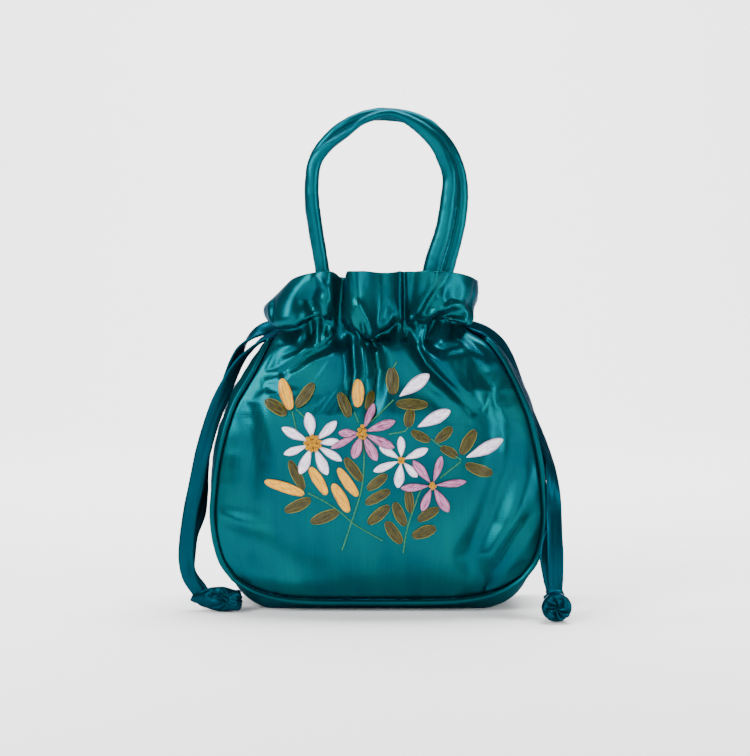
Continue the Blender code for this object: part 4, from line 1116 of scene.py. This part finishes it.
def add_handle(name, route, material):
    """A padded satin tube with its seam towards the inside of the loop."""
    points = smooth_route(route, HANDLE_STEP)

    def ring(turn, index):
        point = Vector(points[index])
        ahead = tangent_at(points, index)
        inner = square_to(ahead, Vector(LOOP_MIDDLE) - point)
        aside = ahead.cross(inner).normalized()
        angle = turn * 2 * math.pi
        seam = bump_at(turn, SEAM_TURN, SEAM_WIDTH)
        fold = 0.05 * ripple(index / 3.2, math.cos(angle) * 1.2, math.sin(angle) * 1.2)
        fold += 0.035 * ripple(index / 9.0, math.cos(angle), 4 + math.sin(angle))
        tight = 1 - (0.13 + 0.05 * math.sin(index * 2.1)) * seam + fold
        wide = hermite(HANDLE_FLATS[name], index / (len(points) - 1))[0]
        deep = 1 + 0.3 * (1 - wide)
        radius = HANDLE_RADIUS * tight
        along_inner = inner * math.cos(angle) * radius * wide
        return point + along_inner + aside * math.sin(angle) * radius * deep

    tube = round_piece(HANDLE_COLUMNS, HANDLE_STEP, points, 2 * math.pi * HANDLE_RADIUS, ring)
    return finish_piece(name, tube, [material])


def add_strap(name, route, material):
    """A flat drawstring: satin folded lengthwise and sewn, so a crease runs down its middle."""
    points = smooth_route(route, STRAP_STEP)
    seed = len(name) * 3.1 + route[0][0]

    def ring(turn, index):
        x, y, z, *direction = points[index]
        ahead = tangent_at(points, index)
        across = square_to(ahead, Vector(direction).normalized())
        normal = ahead.cross(across).normalized()
        left_over = math.dist((x, y, z), points[-1][:3])
        width = STRAP_WIDTH * min(1.0, STRAP_PINCH + (1 - STRAP_PINCH) * left_over / PINCH_LENGTH)
        angle = turn * 2 * math.pi
        s = math.cos(angle)
        crease = 1 - 0.3 * bump_at(s, STRAP_CREASE, CREASE_WIDTH)
        crease += 0.22 * bump_at(abs(s), STRAP_EDGES, CREASE_WIDTH)
        half = STRAP_THICKNESS / 2 * math.sqrt(max(1 - s**4, 0.0)) * crease
        lift = math.copysign(half, math.sin(angle)) if half else 0.0
        wave = 0.35 * ripple(index / 13, s * 1.1, seed) + 0.1 * ripple(index / 4, s * 3, seed + 3)
        side_wave = 0.25 * ripple(index / 14, 5, seed)
        return (
            Vector((x, y, z))
            + across * (s * width / 2 * (1 + 0.05 * ripple(index / 9, 2, seed)) + side_wave)
            + normal * (lift + wave)
        )

    tube = round_piece(STRAP_COLUMNS, STRAP_STEP, points, 2 * STRAP_WIDTH, ring)
    piece = finish_piece(name, tube, [material])
    return piece, [Vector(point[:3]) * MM for point in points]


def add_tunnel_strap(name, side, material):
    """The stretch of the drawstrings that runs inside the neck's tunnel."""
    route = []
    for index in range(TUNNEL_POINTS + 1):
        angle = (2 * index / TUNNEL_POINTS - 1) * math.asin(TUNNEL_REACH)
        route.append((*ring_point(TUNNEL_RING, side, math.sin(angle), TUNNEL_HEIGHT), 0, 0, 1))
    add_strap(name, route, material)


def add_knot(name, table, creases, pleats, swirl, hollow, lift, material):
    """A knot: a creased bundle, closed by the gathered raw end of the satin.

    The pleats of that end swirl inward, stand up by the lift and sink by the hollow.
    """
    points = smooth_route(table, KNOT_STEP)
    body = len(points)
    rows = body + CAP_ROWS - 1
    seed = table[0][0]

    def place(turn, up):
        row = round(up * rows)
        angle = turn * 2 * math.pi
        x, y, z, *direction, wide, deep = points[min(row, body - 1)]
        middle = Vector((x, y, z))
        ahead = tangent_at(points, min(row, body - 1))
        across = square_to(ahead, Vector(direction))
        normal = ahead.cross(across).normalized()
        spot = across * math.cos(angle) * wide + normal * math.sin(angle) * deep
        if row < body:
            along, depth, degrees = row * KNOT_STEP, 0.0, math.degrees(angle)
            rough = ripple(math.cos(angle) * 2.2, math.sin(angle) * 2.2, along / 4 + seed)
            around = deep * math.pi / 180
            for half_width, bends in creases:
                for shift in (-360, 0, 360):
                    line = [(a, (t + shift) * around, d) for a, t, d in bends]
                    away, found = line_distance(along, degrees * around, line)
                    if away < 3 * half_width:
                        depth += found * math.exp(-((away / half_width) ** 2))
            reach = math.hypot(math.cos(angle) * wide, math.sin(angle) * deep)
            depth = within(depth, -1.2, 0.45 * reach) - 0.22 * rough * min(along / 5, 1)
            return middle + spot * (1 - depth / max(reach, 0.6))
        t = (row - body + 1) / CAP_ROWS
        turned = pleats * angle + swirl * t + 1.3 * math.sin(2 * angle + seed)
        turned += 1.6 * ripple(math.cos(angle) * 2.0, math.sin(angle) * 2.0, t * 3 + seed)
        wave = 2 * abs(math.sin(turned / 2)) ** 0.7 - 1
        rim = math.sin(min(t * 1.9, 1.0) * math.pi / 2) * 1.1 - hollow * t * t
        relief = lift * wave * math.sin(min(t * 0.9 + 0.1, 1.0) * math.pi) ** 0.6
        inward = max(1 - t, 0.0) ** 0.85 * (1 + 0.06 * wave * (1 - t))
        return middle + ahead * (rim + relief) + spot * inward

    bundle = cloth_grid(KNOT_COLUMNS, rows, 40, KNOT_STEP * (body - 1) * 1.4, place)
    return finish_piece(name, close_tube(bundle, 0.00001), [material])


# Embroidery


def depth_on(tree, x, height):
    """How far in front of the middle plane the panel lies, in mm, as a positive number."""
    found, _, _, _ = tree.ray_cast(Vector((x, -200, height)) * MM, Vector((0, 1, 0)))
    return -found.y / MM


def new_shape():
    shape = bmesh.new()
    shape.loops.layers.uv.new("cloth")
    return shape


def join_shape(shape, part):
    """Adds a finished bmesh to another one."""
    mesh = bpy.data.meshes.new("part")
    part.to_mesh(mesh)
    part.free()
    shape.from_mesh(mesh)
    bpy.data.meshes.remove(mesh)


def petal_width(t, fullest, blunt):
    """Half width of a ribbon stitch along its length, as a share, pointed at both ends."""
    bent = within(t) ** (math.log(0.5) / math.log(fullest))
    return math.sin(math.pi * bent) ** blunt


def ribbon_stitch(shape, tree, row, level, fullest, blunt):
    """Adds one flat stitch of ribbon to the shape, laid on the panel and bridging its folds.

    It lies on the smooth surface that fits the panel under it best, lifted to clear nearly all
    of the panel's points.
    """
    x, height, bearing, start, length, width = row
    ahead = Vector((math.cos(math.radians(bearing)), math.sin(math.radians(bearing))))
    aside = Vector((-ahead.y, ahead.x))
    bow = random.uniform(-0.5, 0.5)
    phase = random.uniform(0, 40)
    lean = random.uniform(-0.25, 0.25)
    grid = cloth_grid(
        *STITCH_GRID, PETAL_UV_WIDTH, length, lambda across, up: (across, up, 0)
    )
    spots = []
    for vertex in grid.verts:
        s = 2 * vertex.co.x / MM - 1
        t = within(vertex.co.y / MM)
        half = 1.06 * width / 2 * petal_width(t, fullest, blunt)
        half *= 1 + 0.09 * ripple(t * 3, s + phase, 2) + 0.06 * ripple(t * 9, s + phase, 7)
        spot = (
            Vector((x, height))
            + ahead * (start + (length - start) * t)
            + aside * (s * half + bow * math.sin(math.pi * t) * 0.6)
        )
        spots.append((vertex, s, t, spot, depth_on(tree, spot.x, spot.y)))
    terms = [(1, s, t, s * t, t * t, t**3) for _, s, t, _, _ in spots]
    depths = np.array([depth for *_, depth in spots])
    weights = np.linalg.lstsq(np.array(terms), depths, rcond=None)[0]
    smooth = np.array(terms) @ weights
    smooth += max(0.0, float(np.percentile(depths - smooth, 96)) - 0.25)
    for (vertex, s, t, spot, depth), base in zip(spots, smooth):
        raised = STITCH_CROWN * math.sin(math.pi * min(t * 1.04, 1.0)) ** 0.5 * (1 - 0.7 * s * s)
        rolled = STITCH_CURL * max(abs(s) - 0.72, 0) / 0.28 * 0.5
        rolled *= math.sin(math.pi * t) ** 0.7
        crimp = 0.14 * math.sin(s * 8 + phase) * math.exp(-t / 0.35)
        crimp += 0.16 * ripple(s * 2.4 + phase, t * 1.6, 1) + 0.05 * ripple(s * 6, t * 4, phase)
        out = max(base, depth) + 0.3 + level + raised + rolled + crimp + lean * s
        vertex.co = Vector((spot.x, -out, spot.y)) * MM
    faces = grid.faces[:]
    bmesh.ops.recalc_face_normals(grid, faces=faces)
    if sum(face.normal.y for face in grid.faces) > 0:
        bmesh.ops.reverse_faces(grid, faces=faces)
    join_shape(shape, grid)


def add_stitches(name, tree, rows, level, slot, material, fullest, blunt):
    """One piece of one or more ribbon stitches, level above the panel."""
    shape = new_shape()
    for row in rows:
        ribbon_stitch(shape, tree, row, level, fullest, blunt)
    add_wall(finish_piece(name, shape, [material]), RIBBON, 0.0)


def thread_tube(shape, route, radius, spacing, columns=6):
    """Adds a length of thread along a route of points in mm, with radius(index) at each."""

    def ring(turn, index):
        ahead = tangent_at(route, index)
        aside = ahead.cross(Vector((0.13, -1, 0.21))).normalized()
        normal = aside.cross(ahead)
        angle = turn * 2 * math.pi
        turned = aside * math.cos(angle) + normal * math.sin(angle)
        return route[index] + turned * radius(index)

    join_shape(shape, round_piece(columns, spacing, route, 2 * math.pi * 0.4, ring))


def add_thread_knots(name, tree, centre, knots, material):
    """Wound knots: the thread goes round the needle a few times and down through the middle."""
    x, height = centre
    shape = new_shape()
    for off_x, off_z, size, turns in knots:
        middle_x, middle_z = x + off_x, height + off_z
        base = depth_on(tree, middle_x, middle_z) * 0.4 + depth_on(tree, x, height) * 0.6 + 1.5
        tilt_x, tilt_z = random.uniform(-0.35, 0.35), random.uniform(-0.35, 0.35)
        start, squash = random.uniform(0, 6.28), random.uniform(0.78, 1.0)
        route, steps = [], round(turns * 11)
        for step in range(steps + 1):
            t = step / steps
            angle = start + t * turns * 2 * math.pi
            reach = size * (0.78 - 0.34 * t) + 0.07 * math.sin(angle * 2.7 + start)
            rise = 0.25 + size * 0.75 * math.sin(min(t * 1.25, 1.0) * math.pi / 2)
            u, w = reach * math.cos(angle), reach * squash * math.sin(angle)
            out = base + rise + tilt_x * u + tilt_z * w
            route.append(Vector((middle_x + u, -out, middle_z + w)))
        route.append(Vector((middle_x, -base - size * 0.35, middle_z)))
        thread_tube(shape, route, lambda index: size * 0.3, size * 0.5)
    finish_piece(name, shape, [material])


def add_stems(tree, material):
    """Split-stitch stems: short thread stitches end to end along each line."""
    shape = new_shape()

    def stitch(index):
        along = index * STEM_STEP / STEM_STITCH
        return STEM_RADIUS * (0.6 + 0.4 * abs(math.sin(along * math.pi)) ** 0.5)

    for bends in STEMS:
        points = smooth_route([(px, pz, 0.0) for px, pz in bends], STEM_STEP)
        route = [Vector((px, -depth_on(tree, px, pz) - 0.26, pz)) for px, pz, _ in points]
        thread_tube(shape, route, stitch, STEM_STEP, 8)
    finish_piece("stems", shape, [material], stands_in=False)


def petal_rows(name):
    (x, height, radius), petals = DAISIES[name]
    return [(x, height, bearing, radius * 0.55, reach, width) for bearing, reach, width in petals]


def ring_of_knots(radius, count, size, turns, start=0.0):
    return tuple(
        (radius * math.cos(start + 2 * math.pi * index / count),
         radius * math.sin(start + 2 * math.pi * index / count), size, turns)
        for index in range(count)
    )


# Wound knots in the middle of each daisy: place from the middle, size, turns of the thread.
DAISY_KNOTS = {
    "white_daisy": ring_of_knots(3.7, 9, 1.35, 2.6, 0.3) + ring_of_knots(1.7, 4, 1.4, 3.2, 0.9)
    + ((0.0, 0.1, 1.3, 3.4),),
    "pink_daisy": (
        (0.4, 3.4, 1.2, 3.0), (-1.2, 1.6, 1.3, 2.8), (1.4, 1.2, 1.3, 3.2), (-1.8, -0.8, 1.2, 2.6),
        (0.2, -0.4, 1.3, 3.3), (1.9, -1.2, 1.1, 2.7), (-0.8, -2.6, 1.1, 2.8), (1.0, -2.9, 1.0, 2.5),
    ),
    "small_white_daisy": (
        (-0.8, 0.9, 1.2, 2.8), (0.9, 0.7, 1.1, 3.0), (0.5, -0.9, 1.2, 2.9), (-0.9, -0.8, 1.0, 2.4),
    ),
    "small_pink_daisy": (
        (0.0, 1.1, 1.2, 3.0), (-0.9, -0.3, 1.1, 2.8), (0.9, -0.4, 1.2, 2.7), (0.1, -1.5, 1.0, 2.5),
    ),
}


def add_embroidery(panel):
    tree = BVHTree.FromObject(panel, bpy.context.evaluated_depsgraph_get())
    # the last colour of each ribbon is painted at its sides: painted shade on the white, mauve and
    # gold ribbons, a painted highlight on the olive one
    white = ribbon("white_silk_ribbon", "#b4a6c0", "#f0eaf4", "#5e5078", rim=0.6)
    pink = ribbon("mauve_silk_ribbon", "#6a2450", "#b67aa0", "#3c1630", rim=0.7)
    gold = ribbon("gold_silk_ribbon", "#a86c08", "#dca020", "#7a4a00", rim=0.8)
    olive = ribbon("olive_satin_ribbon", "#141200", "#403a06", "#726c1c", streak=0.5, rim=0.82)
    # the second colour of each thread is painted shade in the grooves between its strands
    stem = thread("green_thread", "#38885a", "#10483a")
    knot_thread = thread("gold_thread", "#f0b21c", "#9a5606")
    add_stems(tree, stem)
    # single stitches: name, table, level, slot, material, where they are fullest, how blunt
    singles = (
        ("leaf_{:02d}", LEAVES, 0.0, "leaf_ribbon", olive, 0.5, 0.42),
        ("gold_bud_{}", GOLD_BUDS, 0.2, "gold_ribbon", gold, 0.5, 0.38),
        ("white_bud_{}", WHITE_BUDS, 0.2, "white_ribbon", white, 0.6, 0.6),
    )
    for title, table, *settings in singles:
        for number, (x, height, bearing, length, width) in enumerate(table, 1):
            row = (x, height, bearing, 0, length, width)
            add_stitches(title.format(number), tree, [row], *settings)
    daisies = (
        ("pink_daisy", 0.8, "pink_ribbon", pink),
        ("white_daisy", 0.5, "white_ribbon", white),
        ("small_pink_daisy", 0.9, "pink_ribbon", pink),
        ("small_white_daisy", 0.6, "white_ribbon", white),
    )
    for name, level, slot, colour in daisies:
        add_stitches(name, tree, petal_rows(name), level, slot, colour, 0.62, 0.66)
        centre = DAISIES[name][0][:2]
        add_thread_knots(name + "_centre", tree, centre, DAISY_KNOTS[name], knot_thread)


def add_strings(material):
    left = add_knot("left_knot", LEFT_KNOT, LEFT_KNOT_CREASES, 8, 0.8, 1.0, 0.4, material)
    right = add_knot("right_knot", RIGHT_KNOT, RIGHT_KNOT_CREASES, 7, 4.2, 1.2, 1.3, material)
    strings = (
        ("left_string_front", LEFT_STRING_FRONT, left),
        ("left_string_back", LEFT_STRING_BACK, left),
        ("right_string_front", RIGHT_STRING_FRONT, right),
        ("right_string_back", RIGHT_STRING_BACK, right),
    )
    for name, route, knot in strings:
        piece, line = add_strap(name, route, material)


def main():
    add_camera()
    string_satin = satin("drawstring_satin", "#00404a", "#002434", gloss=0.34)
    add_strings(string_satin)
    add_stage()
    add_world()
    for light in LIGHTS:
        add_light(*light)
    body = satin("shot_satin", "#005a58", "#002a42")
    lining = lining_cloth()
    panel = add_panel("front_panel", FRONT, FRONT_FOLDS, FRONT_SLUMPS, 170, 1.5, [body, lining])
    add_panel("back_panel", BACK, back_folds(), BACK_SLUMPS, 150, 1.7, [body, lining])
    add_gusset([body, lining])
    piping = satin("piping_satin", "#004c4e", "#002e3c", gloss=0.32)
    handle = satin("handle_satin", "#005a5c", "#00384a", gloss=0.34)
    for name, side, route in (("front", FRONT, FRONT_HANDLE), ("back", BACK, BACK_HANDLE)):
        add_piping(name + "_piping", side, piping)
        add_casing(name + "_casing", side, [lining])
        add_tunnel_strap(name + "_tunnel_strap", side, string_satin)
        add_handle(name + "_handle", route, handle)
    bpy.context.view_layer.update()
    add_embroidery(panel)


main()
bpy.context.view_layer.update()
